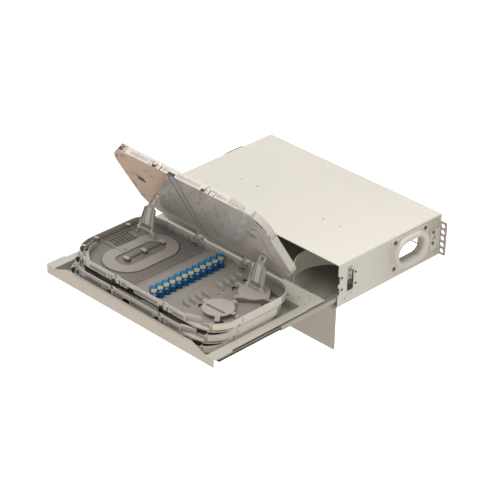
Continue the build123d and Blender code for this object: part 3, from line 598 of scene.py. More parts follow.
class Maker:
    """Builds one piece from bmesh operators, in millimetres of its own frame."""

    def __init__(self) -> None:
        """Start with an empty mesh."""
        self.mesh = bmesh.new()

    def _bevel(self, edges: Iterable[bmesh.types.BMEdge], width: float, segments: int) -> None:
        """Round some edges.

        Args:
            edges: The edges to round.
            width: How far the rounding reaches.
            segments: Faces across the rounding.
        """
        bmesh.ops.bevel(
            self.mesh,
            geom=list(edges),
            offset=width,
            offset_type="OFFSET",
            segments=segments,
            profile=0.5,
            affect="EDGES",
            material=-1,
            clamp_overlap=True,
        )

    def _box(self, size: Point, centre: Point, turn: float) -> set[bmesh.types.BMEdge]:
        """Add a box with sharp edges.

        Args:
            size: Length, width and height.
            centre: The box's middle.
            turn: Rotation about Z, in radians.

        Returns:
            Its edges.
        """
        turned = Matrix.Translation(centre) @ Matrix.Rotation(turn, 4, "Z")
        place = turned @ Matrix.Diagonal((*size, 1.0))
        made = bmesh.ops.create_cube(self.mesh, size=1.0, matrix=place)["verts"]
        return {e for v in made for e in v.link_edges}

    def block(self, size: Point, centre: Point, turn: float = 0.0, edge: float = 0.0) -> None:
        """Add a block with eased edges.

        Args:
            size: Length, width and height.
            centre: The block's middle.
            turn: Rotation about Z, in radians.
            edge: Width of the eased edges, or zero for none.
        """
        edges = self._box(size, centre, turn)
        if edge > 0:
            self._bevel(edges, edge, 2)

    def plate(self, size: Point, centre: Point, corner: float, turn: float = 0.0) -> None:
        """Add a plate with round corners in plan.

        Args:
            size: Length, width and height.
            centre: The plate's middle.
            corner: Radius of the upright edges.
            turn: Rotation about Z, in radians.
        """
        edges = self._box(size, centre, turn)
        upright = [e for e in edges if abs(e.verts[0].co.z - e.verts[1].co.z) > 0.5 * size[2]]
        self._bevel(upright, corner, 6)

    def bar(self, start: Point, end: Point, width: float, heights: Span, edge: float = 0.0) -> None:
        """Add a straight bar between two points of the plan.

        Args:
            start: First point.
            end: Last point.
            width: The bar's width.
            heights: Its bottom and top.
            edge: Width of the eased edges.
        """
        along, across = end[0] - start[0], end[1] - start[1]
        centre = ((start[0] + end[0]) / 2, (start[1] + end[1]) / 2, sum(heights) / 2)
        size = (hypot(along, across), width, heights[1] - heights[0])
        self.block(size, centre, atan2(across, along), edge)

    def slab(self, points: Sequence[Point], heights: Span, edge: float = 0.0) -> None:
        """Add a plate whose plan is a few straight sides.

        Args:
            points: Corners of the plan, in order.
            heights: Its bottom and top.
            edge: Width of the eased edges.
        """
        corners = [self.mesh.verts.new((x, y, heights[0])) for x, y in points]
        face = self.mesh.faces.new(corners)
        grown = bmesh.ops.extrude_face_region(self.mesh, geom=[face], use_keep_orig=True)["geom"]
        raised = [item for item in grown if isinstance(item, bmesh.types.BMVert)]
        bmesh.ops.translate(self.mesh, verts=raised, vec=(0, 0, heights[1] - heights[0]))
        if edge > 0:
            self._bevel({e for v in corners + raised for e in v.link_edges}, edge, 2)

    def drum(
        self,
        radius: float,
        heights: Span,
        centre: Point = (0.0, 0.0),
        top_radius: float | None = None,
        segments: int = 20,
        frame: Matrix | None = None,
    ) -> None:
        """Add a drum or a cone.

        Args:
            radius: Radius at the bottom.
            heights: Bottom and top.
            centre: Middle of the drum in plan.
            top_radius: Radius at the top, if it differs.
            segments: Faces round it.
            frame: Where the drum's own frame lies, if it isn't upright.
        """
        place = Matrix.Translation((centre[0], centre[1], sum(heights) / 2))
        bmesh.ops.create_cone(
            self.mesh,
            cap_ends=True,
            cap_tris=False,
            segments=segments,
            radius1=radius,
            radius2=radius if top_radius is None else top_radius,
            depth=heights[1] - heights[0],
            matrix=(frame or Matrix()) @ place,
        )

    def arc(
        self,
        centre: Point,
        radius: float,
        angles: Span,
        width: float,
        heights: Span,
        steps: int = 14,
    ) -> None:
        """Add a wall along an arc, spun from its upright section.

        Args:
            centre: The arc's centre in plan.
            radius: Radius of the wall's middle line.
            angles: First and last angle, in degrees from +X.
            width: The wall's thickness.
            heights: Its bottom and top.
            steps: Faces along the arc.
        """
        section = (
            Matrix.Translation((centre[0], centre[1], sum(heights) / 2))
            @ Matrix.Rotation(radians(angles[0]), 4, "Z")
            @ Matrix.Translation((radius, 0, 0))
            @ Matrix.Rotation(pi / 2, 4, "X")
            @ Matrix.Diagonal((width, heights[1] - heights[0], 1.0, 1.0))
        )
        made = bmesh.ops.create_grid(
            self.mesh, x_segments=1, y_segments=1, size=0.5, matrix=section
        )["verts"]
        faces = list({f for v in made for f in v.link_faces})
        edges = list({e for f in faces for e in f.edges})
        bmesh.ops.spin(
            self.mesh,
            geom=list(made) + edges + faces,
            cent=(centre[0], centre[1], 0),
            axis=(0, 0, 1),
            angle=radians(angles[1] - angles[0]),
            steps=steps,
            use_duplicate=False,
            use_merge=False,
        )

    def piece(
        self,
        name: str,
        finish: Finish,
        body: str,
        place: Matrix | None = None,
        ease: float = 0.0,
    ) -> None:
        """Turn the mesh to an object at the origin that rides on a body.

        Args:
            name: The piece's name.
            finish: Its finish.
            body: The body that carries it.
            place: Where the piece's own frame lies, in metres.
            ease: Width of a bevel on all sharp edges, in millimetres.
        """
        bmesh.ops.recalc_face_normals(self.mesh, faces=self.mesh.faces)
        if ease > 0:
            solid = [e for e in self.mesh.edges if len(e.link_faces) == 2]
            self._bevel([e for e in solid if e.calc_face_angle(0.0) > SHARP_ANGLE], ease, 2)
        self.mesh.transform((place or Matrix()) @ Matrix.Scale(MM, 4))
        data = bpy.data.meshes.new(name)
        self.mesh.to_mesh(data)
        self.mesh.free()
        data.polygons.foreach_set("use_smooth", [True] * len(data.polygons))
        data.set_sharp_from_angle(angle=SHARP_ANGLE)
        made = add_object(name, data)
        data.materials.append(finish.material())
        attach(made, body)
        LOG.info("%s: %d faces on %s", name, len(data.polygons), body)


@dataclass(frozen=True)
class ShelfFrame:
    """Where the housing's front edge and underside lie in the row frame.

    Attributes:
        face_depth: Depth of the rack face behind the front edge, in millimetres.
        centre_height: Height of the origin above the underside, in millimetres.
    """

    face_depth: float
    centre_height: float

    def matrix(self) -> Matrix:
        """Frame of the housing: Y counts from the front edge and Z from the underside."""
        return Matrix.Translation((0, -self.face_depth * MM, -self.centre_height * MM))


@dataclass(frozen=True)
class PhotoCamera:
    """The camera that took the photograph, as fitted to the corners of the housing.

    Attributes:
        azimuth: Turn about the upright axis, from straight ahead to the right, in degrees.
        elevation: Height over the level, in degrees.
        roll: Turn about the line of sight, in degrees.
        focal_pixels: Focal length in pixels of the photograph.
        image_pixels: Width of the photograph in pixels.
        sensor: Width of the sensor, in millimetres.
        shift_right: How far its axis passes to the right of the housing's origin, in millimetres.
        shift_up: How far its axis passes above that origin, in millimetres.
        distance: How far it stands back from the origin along its axis, in millimetres.
        far_end: How far it sees, in metres.
    """

    azimuth: float = 44.052
    elevation: float = 30.082
    roll: float = 1.463
    focal_pixels: float = 2045.733
    image_pixels: float = 500.0
    sensor: float = 36.0
    shift_right: float = 1.278
    shift_up: float = 21.779
    distance: float = 3815.305
    far_end: float = 50.0

    def place(self, shelf: ShelfFrame) -> None:
        """Create the camera and make it the scene's own.

        Args:
            shelf: The housing's frame.
        """
        a, e, r = (radians(angle) for angle in (self.azimuth, self.elevation, self.roll))
        back = Vector((sin(a) * cos(e), -cos(a) * cos(e), sin(e)))
        level = Vector((cos(a), sin(a), 0))
        up = back.cross(level)
        right = level * cos(r) + up * sin(r)
        top = up * cos(r) - level * sin(r)
        spot = (back * self.distance + right * self.shift_right + top * self.shift_up) * MM
        data = bpy.data.cameras.new("photo_camera")
        data.sensor_width = self.sensor
        data.lens = self.focal_pixels / self.image_pixels * self.sensor
        data.clip_end = self.far_end
        camera = add_object("photo_camera", data)
        turned = Matrix((right, top, back)).transposed().to_4x4()
        camera.matrix_world = shelf.matrix() @ Matrix.Translation(spot) @ turned
        bpy.context.scene.camera = camera


@dataclass(frozen=True)
class Studio:
    """Soft white surroundings with a pale floor.

    Attributes:
        floor_drop: How far the floor lies below the object, in metres.
        floor_size: Half the floor's width, in metres.
        floor_glow: What the floor adds to itself for the camera, to be white away from the shadow.
        world_strength: Light from all round.
        key_strength: Light from above.
        fill_strength: Light from the front.
    """

    floor_drop: float = 0.4
    floor_size: float = 30.0
    floor_glow: float = 0.7
    world_strength: float = 0.52
    key_strength: float = 1.35
    fill_strength: float = 0.25

    def build(self) -> None:
        """Make the floor, the world and the lamps."""
        self._floor()
        self._world()
        self._sun("key_lamp", self.key_strength, (radians(14), radians(-10), 0), radians(50))
        self._sun("fill_lamp", self.fill_strength, (radians(62), 0, radians(38)), radians(60))

    def _sees_white(self, tree: Tree) -> Socket:
        """Tell rays that should meet plain white from those that light the object.

        Args:
            tree: The tree that gets the nodes.

        Returns:
            A socket that is one for camera, glossy and transmission rays.
        """
        path = add_node(tree, "ShaderNodeLightPath").outputs
        found = path["Is Camera Ray"]
        for kind in ("Is Glossy Ray", "Is Transmission Ray"):
            links = {0: found, 1: path[kind]}
            found = add_node(tree, "ShaderNodeMath", {"operation": "MAXIMUM"}, links).outputs[0]
        return found

    def _floor(self) -> None:
        """Make a pale floor that keeps the object's shadow."""
        low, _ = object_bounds()
        mesh = bmesh.new()
        place = Matrix.Translation((0, 0, low[2] - self.floor_drop))
        bmesh.ops.create_grid(
            mesh, x_segments=1, y_segments=1, size=self.floor_size, matrix=place
        )
        data = bpy.data.meshes.new("floor")
        mesh.to_mesh(data)
        mesh.free()
        floor = add_object("floor", data)
        paint = bpy.data.materials.new("floor paint")
        tree = bare_tree(paint)
        matt = add_node(tree, "ShaderNodeBsdfDiffuse", {"Color": linear("#F3F3F2")}).outputs[0]
        glow = add_node(tree, "ShaderNodeEmission", {"Strength": self.floor_glow}).outputs[0]
        shown = add_node(tree, "ShaderNodeAddShader", {}, {0: matt, 1: glow}).outputs[0]
        white = add_node(tree, "ShaderNodeEmission", {"Strength": 1.0}).outputs[0]
        camera = add_node(tree, "ShaderNodeLightPath").outputs["Is Camera Ray"]
        seen = add_node(tree, "ShaderNodeMixShader", {}, {0: camera, 1: white, 2: shown}).outputs[0]
        rays = {0: self._sees_white(tree), 1: matt, 2: seen}
        mix = add_node(tree, "ShaderNodeMixShader", {}, rays).outputs[0]
        add_node(tree, "ShaderNodeOutputMaterial", {}, {"Surface": mix})
        data.materials.append(paint)
        floor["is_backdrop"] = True

    def _world(self) -> None:
        """Light the object evenly, and show the camera plain white."""
        world = bpy.data.worlds.new("studio")
        bpy.context.scene.world = world
        tree = bare_tree(world)
        light = {"Color": linear("#FFFDFA"), "Strength": self.world_strength}
        soft = add_node(tree, "ShaderNodeBackground", light).outputs[0]
        plain = {"Color": linear("#FFFFFF"), "Strength": 1.0}
        white = add_node(tree, "ShaderNodeBackground", plain).outputs[0]
        rays = {0: self._sees_white(tree), 1: soft, 2: white}
        mix = add_node(tree, "ShaderNodeMixShader", {}, rays).outputs[0]
        add_node(tree, "ShaderNodeOutputWorld", {}, {"Surface": mix})

    def _sun(self, name: str, strength: float, turn: Point, spread: float) -> None:
        """Add one soft distant lamp.

        Args:
            name: The lamp's name.
            strength: Its strength.
            turn: Rotation of the lamp about the three axes.
            spread: How wide the light source looks.
        """
        data = bpy.data.lights.new(name, "SUN")
        data.energy = strength
        data.angle = spread
        add_object(name, data).rotation_euler = turn


# Both ends of each short slot under a tray's floor, in the tray's frame
UNDERSIDE_SLOTS: tuple[tuple[float, float, float, float], ...] = (
    (-163.8, -132.8, -144.3, -130.8),
    (-173.4, -119.7, -170.8, -114.9),
    (-110.0, -167.9, -99.3, -168.0),
    (-101.3, -158.5, -96.1, -149.1),
    (-98.7, -130.7, -97.1, -121.1),
    (-182.5, -84.3, -179.9, -79.4),
    (-188.0, -44.0, -178.8, -45.3),
    (-177.1, -67.0, -175.5, -60.4),
    (-188.2, -119.4, -188.4, -112.9),
    (-186.0, -94.0, -186.5, -70.0),
    (-68.9, -128.8, -70.0, -114.4),
    (-102.6, -94.4, -100.5, -87.1),
    (-70.7, -95.9, -66.3, -87.9),
    (-102.7, -64.1, -102.9, -54.2),
    (-73.3, -58.0, -73.3, -52.0),
    (-78.7, -32.0, -78.7, -25.0),
    (65.2, -160.0, 66.0, -154.0),
    (92.5, -161.0, 93.0, -153.0),
    (56.0, -134.0, 57.0, -123.0),
    (86.0, -133.0, 86.2, -122.0),
    (53.0, -102.0, 54.0, -90.0),
    (152.0, -148.0, 166.0, -152.0),
    (178.0, -168.0, 170.0, -176.0),
)


@dataclass(frozen=True)
class TrayFittings:
    """Fine mouldings of one splice tray, in the tray's own frame on its hinge axis.

    Attributes:
        number: The tray, counted from the top.
        axis: The hinge axis in the row frame, in metres.
        lift: How far the tray stands open at rest, in degrees.
        half_width: Half the tray's width. This and all that follows is in mm and degrees.
        front: Outside of the front wall.
        rear: Outside of the rear wall.
        bottom: Underside of the floor.
        floor: Upper side of the floor.
        rim: Top of the walls.
        wall: Thickness of the walls.
        left_radius: Radius of the front-left corner.
        right_radius: Radius of the front-right corner.
        rear_radius: Radius of both rear corners.
        ramp_start: Where the front wall ends and the exit begins.
        hinge_x: Places of the two hinges along the tray.
        hinge_gap: How far the rear wall's fittings stay from a hinge's middle.
        slot_x: Places of the two prop slots along the tray.
        slot_y: Depth of the prop slots.
        recess_x: Place of the finger recess in the front wall.
        posts: Depths of the three posts of the storage platform.
        post_x: Place of these posts along the tray.
        discs: Centres of the front and the rear winding disc.
        disc_top: Upper side of the discs.
        adaptor_row: Middle of the adaptor row.
        adaptor_count: Number of adaptors.
        adaptor_pitch: Distance from one adaptor to the next.
        adaptor_turn: Slant of the adaptors.
        adaptor_height: Height of an adaptor over the floor.
    """

    number: int
    axis: tuple[float, float, float]
    lift: float
    half_width: float = 194.0
    front: float = -205.0
    rear: float = -3.5
    bottom: float = -12.8
    floor: float = -11.2
    rim: float = 2.0
    wall: float = 1.6
    left_radius: float = 60.0
    right_radius: float = 52.0
    rear_radius: float = 42.0
    ramp_start: float = 119.0
    hinge_x: Span = (-57.0, 67.0)
    hinge_gap: float = 12.0
    slot_x: Span = (-145.0, 139.5)
    slot_y: float = -119.4
    recess_x: float = -20.0
    posts: tuple[float, float, float] = (-138.0, -95.5, -49.5)
    post_x: float = -103.5
    discs: tuple[Span, Span] = ((138.8, -142.4), (143.0, -58.0))
    disc_top: float = -1.4
    adaptor_row: Span = (21.0, -104.2)
    adaptor_count: int = 12
    adaptor_pitch: float = 15.0
    adaptor_turn: float = -38.0
    adaptor_height: float = 9.0

    @property
    def body(self) -> str:
        """The body that carries the tray."""
        return f"tray_{self.number}"

    @property
    def left_turn(self) -> Span:
        """Centre of the front-left corner."""
        return (-self.half_width + self.left_radius, self.front + self.left_radius)

    @property
    def right_turn(self) -> Span:
        """Centre of the front-right corner."""
        return (self.half_width - self.right_radius, self.front + self.right_radius)

    @property
    def wall_finish(self) -> Finish:
        """The wall's grey, painted lighter on the tray that stands open to the light."""
        return TRAY_LIGHT if self.number == 1 else TRAY_PLASTIC

    def make(
        self, maker: Maker, what: str, finish: Finish, ease: float = 0.0, upright: bool = False
    ) -> None:
        """Finish a piece of this tray.

        Args:
            maker: The piece's mesh.
            what: The piece's name within the tray.
            finish: Its finish.
            ease: Width of the bevel on sharp edges.
            upright: Whether it is drawn on the front wall, with Y up and Z to the front.
        """
        spot = Matrix.Translation((0, self.axis[1], self.axis[2]))
        place = spot @ Matrix.Rotation(-radians(self.lift), 4, "X")
        if upright:
            place = place @ Matrix.Rotation(pi / 2, 4, "X")
        maker.piece(f"{self.body}_{what}", finish, self.body, place, ease)

    def between_hinges(self, start: float, end: float, gap: float) -> Iterable[Span]:
        """Stretches of a wall that leave a gap at each hinge.

        Args:
            start: Where the wall starts.
            end: Where it ends.
            gap: How far it stays away from the middle of a hinge.

        Returns:
            Start and end of each stretch.
        """
        stops = [start, *(x + side * gap for x in self.hinge_x for side in (-1, 1)), end]
        return zip(stops[::2], stops[1::2])

    def build(self) -> None:
        """Make all the fine pieces of the tray."""
        self.rim_lip()
        self.front_relief()
        self.left_corner()
        self.right_corner()
        self.storage_bay()
        self.splice_lanes()
        self.adaptor_clips()
        self.disc_ears()
        self.fan_fins()
        self.rear_fittings()
        self.underside()
        self.recess_cup()
        if self.number == 1:
            self.rear_apron()
            self.prop_pockets()
        else:
            self.floor_marks()
            self.slot_lids()
        if self.number in (2, 3):
            self.side_skirts()
        if self.number in (3, 4):
            self.front_screen()

    def recess_cup(self) -> None:
        """Cup behind the finger recess of the front wall."""
        cup = Maker()
        x, radius, sheet = self.recess_x, 9.6, 0.9
        cup.arc((x, self.front), radius, (2, 178), sheet, (self.bottom + 0.05, -6.2), 16)
        inner = radius - sheet
        turns = [radians(angle) for angle in range(0, 181, 15)]
        roof = [(x + radius * cos(a), self.front + sheet + inner * sin(a)) for a in turns]
        cup.slab(roof, (-6.75, -6.0))
        # The cup is painted in half shade, as little light reaches behind the recess
        self.make(cup, "recess_cup", SHADOW_GREY)

    def rear_apron(self) -> None:
        """Strip of the floor that carries on behind the rear wall, open at the hinges."""
        apron = Maker()
        for left, right in self.between_hinges(-150.0, 150.0, self.hinge_gap):
            centre = ((left + right) / 2, self.rear + 10.0, self.bottom + 0.8)
            apron.block((right - left, 21.0, 1.5), centre, 0.0, 0.3)
        self.make(apron, "rear_apron", tray_finish(self))

    def prop_pockets(self) -> None:
        """Shallow pockets over the slots that take the tips of the folded props."""
        pockets = Maker()
        length, width, height = 20.8, 17.8, 5.0
        middle = self.floor + height / 2
        for x in self.slot_x:
            for side in Side:
                end = (x + side.value * 10.0, self.slot_y, middle)
                pockets.block((0.8, width, height), end)
                wall = (x, self.slot_y + side.value * 8.5, middle)
                pockets.block((length, 0.8, height), wall)
            roof = (x, self.slot_y, self.floor + height + 0.3)
            pockets.block((length, width, 0.8), roof, 0.0, 0.3)
        # The pockets take the lit wall grey, painted lighter against the shade inside them
        self.make(pockets, "prop_pockets", TRAY_LIGHT)

    def slot_lids(self) -> None:
        """Lids over the prop slots of a tray that has no props below it."""
        lids = Maker()
        for x in self.slot_x:
            lids.block((18.9, 15.9, 1.5), (x, self.slot_y, self.bottom + 0.82))
        lids.block((13.4, 15.9, 1.6), (-142.2, self.slot_y, self.floor + 0.78))
        self.make(lids, "slot_lids", tray_finish(self))

    def side_skirts(self) -> None:
        """Skirts that close the gap to the tray below along the sides."""
        skirts = Maker()
        heights = (self.bottom - 2.5, self.bottom + 0.3)
        inset, width = 0.9, 1.5
        for side in Side:
            x = side.value * (self.half_width - inset)
            skirts.bar((x, -152.0), (x, -48.0), width, heights, 0.3)
        skirts.arc(self.right_turn, self.right_radius - inset, (-60, 0), width, heights)
        # The skirts take the pale outer grey of painted light
        self.make(skirts, "side_skirts", TRAY_PALE)

    def front_screen(self) -> None:
        """Low wall behind the front rim, with a flange over the first adaptors' ends, in painted half
        shade so the gap under the tray above looks dark.
        """
        screen = Maker()
        y = self.front + 3.2
        screen.bar((-44.0, y), (62.0, y), 1.0, (self.rim - 2.0, self.rim + 2.5))
        screen.block((42.0, 28.0, 0.6), (32.0, self.front + 17.0, 0.7), 0.0, 0.15)
        self.make(screen, "front_screen", SHADOW_GREY)

    def rim_lip(self) -> None:
        """A narrow lip inside the top of the wall, open at the notches, in the rim grey of a painted
        highlight.
        """
        lip = Maker()
        width = 0.7
        inset = self.wall + width / 2 - 0.1
        top = (self.rim - 1.3, self.rim - 0.04)
        x_rear = self.half_width - self.rear_radius
        for start, end, gap, y in (
            (self.left_turn[0], self.ramp_start, 5.0, self.front + inset),
            (-x_rear, x_rear, self.hinge_gap, self.rear - inset),
        ):
            for left, right in self.between_hinges(start, end, gap):
                lip.bar((left, y), (right, y), width, top)
        y_high = self.rear - self.rear_radius
        for side, turn, radius, start, sweep in (
            (-1, self.left_turn, self.left_radius, 90, (180, 218)),
            (1, self.right_turn, self.right_radius, 0, (-52, 0)),
        ):
            x = side * (self.half_width - inset)
            lip.bar((x, turn[1]), (x, y_high), width, top)
            rear_turn = (side * x_rear, y_high)
            lip.arc(rear_turn, self.rear_radius - inset, (start, start + 90), width, top)
            lip.arc(turn, radius - inset, sweep, width, top)
        lip.arc(self.left_turn, self.left_radius - inset, (232, 270), width, top)
        self.make(lip, "rim_lip", RIM_PLASTIC)

    def front_relief(self) -> None:
        """Clips, finger arches and shallow panels on the outside of the front wall, the arches and
        slots drawn as dark plates of painted shade.
        """
        clips, dark, panels = Maker(), Maker(), Maker()
        skin = self.front - 0.12
        for x in self.hinge_x:
            clips.block((9.0, 2.6, 1.4), (x + 2.0, self.front + 2.9, self.rim - 0.9), 0.0, 0.4)
            clips.plate((3.4, 1.0, 7.0), (x + 1.2, self.front - 0.4, -8.6), 0.45)
            # Dark plates of painted shade in the finger arch and the slots beside each notch
            dark.plate((8.0, 0.3, 5.4), (x - 8.5, skin, self.bottom + 2.7), 0.1)
            for slot in (x - 3.6, x + 8.2):
                dark.block((2.0, 0.3, 8.6), (slot, skin, self.bottom + 4.8))
            self._clip_frame(dark, x)
        skin = self.front - 0.15
        for start, end in ((-128.0, -84.0), (-44.0, -31.0), (-9.0, 46.0), (90.0, 116.0)):
            panels.bar((start, skin), (end, skin), 0.5, (-9.8, -3.8), 0.12)
        for x in (-112.0, -70.0, -38.0, 4.0, 22.0, 48.0, 98.0):
            panels.block((1.0, 0.8, 9.0), (x, self.front - 0.3, self.bottom + 6.4), 0.0, 0.2)
        if self.number == 1:
            x, z = self.half_width + 0.1, -5.6
            for y in (-151.0, -146.5, -142.0):
                panels.block((0.6, 1.5, 12.6), (x, y, z), 0.0, 0.2)
                # Painted shade between the ribs
                dark.block((0.3, 0.7, 12.4), (x, y - 1.4, z))
        self.make(clips, "front_clips", CLIP_WHITE)
        self.make(dark, "front_arches", SHADOW_SLOT)
        self.make(panels, "front_panels", self.wall_finish)

    def _clip_frame(self, dark: Maker, x: float) -> None:
        """Draw the moulded outline of the spring clip beside a notch, as dark lines of painted shade.

        Args:
            dark: The mesh that takes the outline.
            x: The notch's place.
        """
        side = -1.0 if x < 0 else 1.0
        near, far = x + side * 9.5, x + side * 21.0
        middle = (near + far) / 2
        skin, depth = self.front - 0.1, 0.24
        dark.bar((near, skin), (far, skin), depth, (-3.9, -3.2))
        dark.block((0.9, depth, 8.4), (far, skin, -7.6))
        dark.bar((middle, skin), (far, skin), depth, (-11.6, -10.9))
        dark.block((0.8, depth, 4.0), (middle, skin, -6.6))

    def left_corner(self) -> None:
        """The fibre port at the front-left corner: bracket, lips, guide teeth and inner wall."""
        x_turn, y_turn = self.left_turn
        rear, depth = (x_turn - 38, self.front + 26), -5.8
        shelf = Maker()
        shelf.bar(rear, (x_turn - 13, self.front + 8.0), 13.0, (-7.4, depth), 0.5)
        front = (x_turn - 17, self.front + 5.5)
        shelf.bar((x_turn - 34, self.front + 17.5), front, 3.0, (-10.5, depth), 0.6)
        self.make(shelf, "corner_bracket", CLIP_WHITE)
        # The bracket's holes are dark discs of painted shade
        holes = Maker()
        for share in (0.22, 0.5, 0.8):
            spot = (rear[0] + 25 * share, rear[1] - 18 * share)
            holes.drum(1.7, (depth - 0.05, depth + 0.15), spot)
        self.make(holes, "corner_holes", SHADOW_SLOT)
        teeth = Maker()
        for radius, first in ((52.0, 184.0), (43.5, 183.0)):
            for index in range(9):
                angle = radians(first + 6.2 * index)
                spot = (x_turn + radius * cos(angle), y_turn + radius * sin(angle), -6.1)
                teeth.block((1.5, 3.0, 10.0), spot, angle, 0.3)
        for x, y in ((-182.5, -174.0), (-189.0, -138.0), (-186.0, -62.0), (-171.0, -27.0)):
            teeth.plate((8.0, 4.6, 1.2), (x * 0.985, y, self.rim - 0.7), 1.2, radians(38))
        self.make(teeth, "corner_teeth", CLIP_WHITE)
        if self.number > 1:
            self.corner_port()

    def corner_port(self) -> None:
        """Mouth of the fibre port as a dark sheet of painted shade on the wall, with its low lip,
        posts and the spout at its end.
        """
        turn = self.left_turn
        mouth = Maker()
        heights = (self.bottom + 0.8, self.rim - 0.2)
        mouth.arc(turn, self.left_radius + 0.1, (200, 258), 0.3, heights, 18)
        self.make(mouth, "port_mouth", SHADOW_SLOT)
        lip = Maker()
        radius = self.left_radius + 0.3
        for angles, width, heights, steps in (
            ((206, 250), 0.6, (-10.6, -6.4), 16),
            ((236, 259), 0.5, (-2.6, 0.4), 10),
            ((202, 212), 0.5, (-1.8, 1.2), 6),
        ):
            lip.arc(turn, radius, angles, width, heights, steps)
        for angle in (206, 221, 236, 248):
            lip.arc(turn, radius, (angle, angle + 3), 0.6, (-10.6, -1.6), 3)
        heights = (self.bottom + 0.4, self.rim + 0.9)
        lip.arc(turn, radius - 0.05, (258, 262), 0.7, heights, 3)
        self.make(lip, "port_lip", TRAY_LIGHT)

    def right_corner(self) -> None:
        """The fibre exit at the front-right corner: ledge, comb, wall end, smooth panel in painted
        light, and slits of painted shade.
        """
        turn = self.right_turn
        ledge = Maker()
        plan = ((121, -203.2), (148, -191), (171, -191), (171, -198.6), (150, -204.3))
        ledge.slab(plan, (self.floor, -9.4))
        ledge.arc(turn, 50.2, (-55, -12), 1.2, (self.floor, self.rim - 0.4), 12)
        ledge.block((1.6, 9.0, 12.6), (171.4, -192.0, -4.6), radians(28), 0.3)
        self.make(ledge, "exit_ledge", TRAY_LIGHT)
        comb = Maker()
        for index in range(5):
            spot = (150.5 + 3.6 * index, -194.0 + 0.8 * index, -8.2)
            comb.block((1.1, 7.0, 3.0), spot, radians(10), 0.25)
        comb.bar((149.0, -190.6), (169.0, -187.4), 1.4, (self.floor, -5.4), 0.3)
        plan = ((116, -203.0), (119, -203.0), (147, -191.0), (143, -189.2), (116, -198.5))
        comb.slab(plan, (0.2, 1.4), 0.3)
        self.make(comb, "exit_comb", CLIP_WHITE)
        panel = Maker()
        x, sheet = self.half_width + 0.12, 0.3
        heights = (self.bottom + 3.0, self.rim - 1.0)
        panel.arc(turn, self.right_radius + 0.12, (-50, 0), sheet, heights, 16)
        panel.bar((x, turn[1]), (x, -139.0), sheet, heights)
        self.make(panel, "corner_panel", PANEL_PEACH if self.number == 2 else TRAY_PALE)
        # Dark slits of painted shade
        slits = Maker()
        x, low = self.half_width + 0.1, self.bottom
        slits.arc(turn, self.right_radius + 0.1, (-42, -22), sheet, (low + 0.3, low + 1.5), 8)
        slits.bar((x, -150.0), (x, -143.0), sheet, (low + 0.6, low + 2.0))
        slits.bar((x, -137.6), (x, -136.9), sheet, (low + 2.0, self.rim - 1.0))
        self.make(slits, "corner_slits", SHADOW_SLOT)

    def storage_bay(self) -> None:
        """Posts' caps and rib with their painted shadows, the splice compartment, its ribbed holder
        in painted half shade, and the platform's groove drawn as a dark line of painted shade.
        """
        level = self.floor + 1.6
        rib, caps, shade = Maker(), Maker(), Maker()
        steps = 6
        for low, high in zip(self.posts, self.posts[1:]):
            ends = (self.post_x, low + 8), (self.post_x, high - 8)
            rib.bar(*ends, 3.0, (level - 0.1, level + 0.9), 0.3)
            for index in range(steps):
                y = low + 10 + (high - low - 20) * index / (steps - 1)
                rib.block((5.0, 1.4, 1.7), (self.post_x - 0.6, y, level + 0.7), radians(30), 0.3)
        for y in self.posts:
            caps.plate((13.4, 7.6, 1.5), (self.post_x, y, self.floor + 4.7), 3.7)
            # Each post's dark plate, set off to one side under its cap, is its painted shadow
            shade.plate((16.0, 10.0, 0.3), (self.post_x + 1.8, y - 0.6, level + 0.1), 4.8)
        self.make(rib, "post_rib", SHADOW_GREY)
        self.make(caps, "post_caps", RIM_PLASTIC, ease=0.35)
        self.make(shade, "post_sockets", SHADOW_SLOT)
        bay, holder, groove = Maker(), Maker(), Maker()
        tall = (self.floor - 0.1, self.floor + 2.6)
        for start, end in (
            ((-186.0, -128.0), (-180.5, -42.0)),
            ((-186.0, -56.0), (-119.0, -54.0)),
            ((-186.0, -126.0), (-124.0, -126.5)),
        ):
            bay.bar(start, end, 1.0, tall, 0.2)
        bay.drum(2.0, (self.floor, self.floor + 3.4), (-150.0, -128.5), segments=24)
        bay.plate((9.0, 5.0, 2.6), (-133.0, -116.0, self.floor + 1.3), 1.6, radians(20))
        self.make(bay, "splice_bay", self.wall_finish)
        for index in range(7):
            spot = (-162.0, -114.0 + 7.0 * index, self.floor + 1.5)
            holder.block((30.0, 1.8, 3.0), spot, radians(-6), 0.25)
        for x in (-176.0, -162.0, -148.0):
            holder.block((1.4, 46.0, 2.4), (x, -93.0, self.floor + 1.2), radians(-2), 0.25)
        self.make(holder, "splice_holder", SHADOW_GREY)
        flat, width = (self.floor, self.floor + 0.06), 1.3
        front, rear = -138.0, -70.0
        for y, angles in ((front, (180, 360)), (rear, (0, 180))):
            groove.arc((-103.0, y), 46.9, angles, width, flat, 24)
        left, right = -149.9, -56.1
        for x, start, end in ((left, front, -129.5), (left, -109.5, rear), (right, front, rear)):
            groove.bar((x, start), (x, end), width, flat)
        self.make(groove, "platform_groove", SHADOW_SLOT)

    def splice_lanes(self) -> None:
        """Long low steps in the floor between the storage bay and the adaptors."""
        lanes, line = Maker(), Maker()
        low = self.floor - 0.1
        ridge = (low, self.floor + 1.5)
        lanes.bar((-32.0, -200.0), (-32.0, -22.0), 1.8, ridge, 0.6)
        lanes.arc((-22.0, -22.0), 10.0, (70, 180), 1.8, ridge, 12)
        lanes.bar((-32.8, -198.0), (-32.8, -24.0), 1.2, (low, self.floor + 0.6), 0.3)
        for spot in ((-44.0, -150.0), (-44.0, -90.0), (-8.0, -186.0), (60.0, -34.0)):
            lanes.drum(1.3, (self.floor, self.floor + 0.7), spot)
        lanes.block((2.4, 6.0, 1.4), (96.8, -101.7, self.floor + 0.7), radians(-20), 0.3)
        self.make(lanes, "lane_ridge", self.wall_finish)
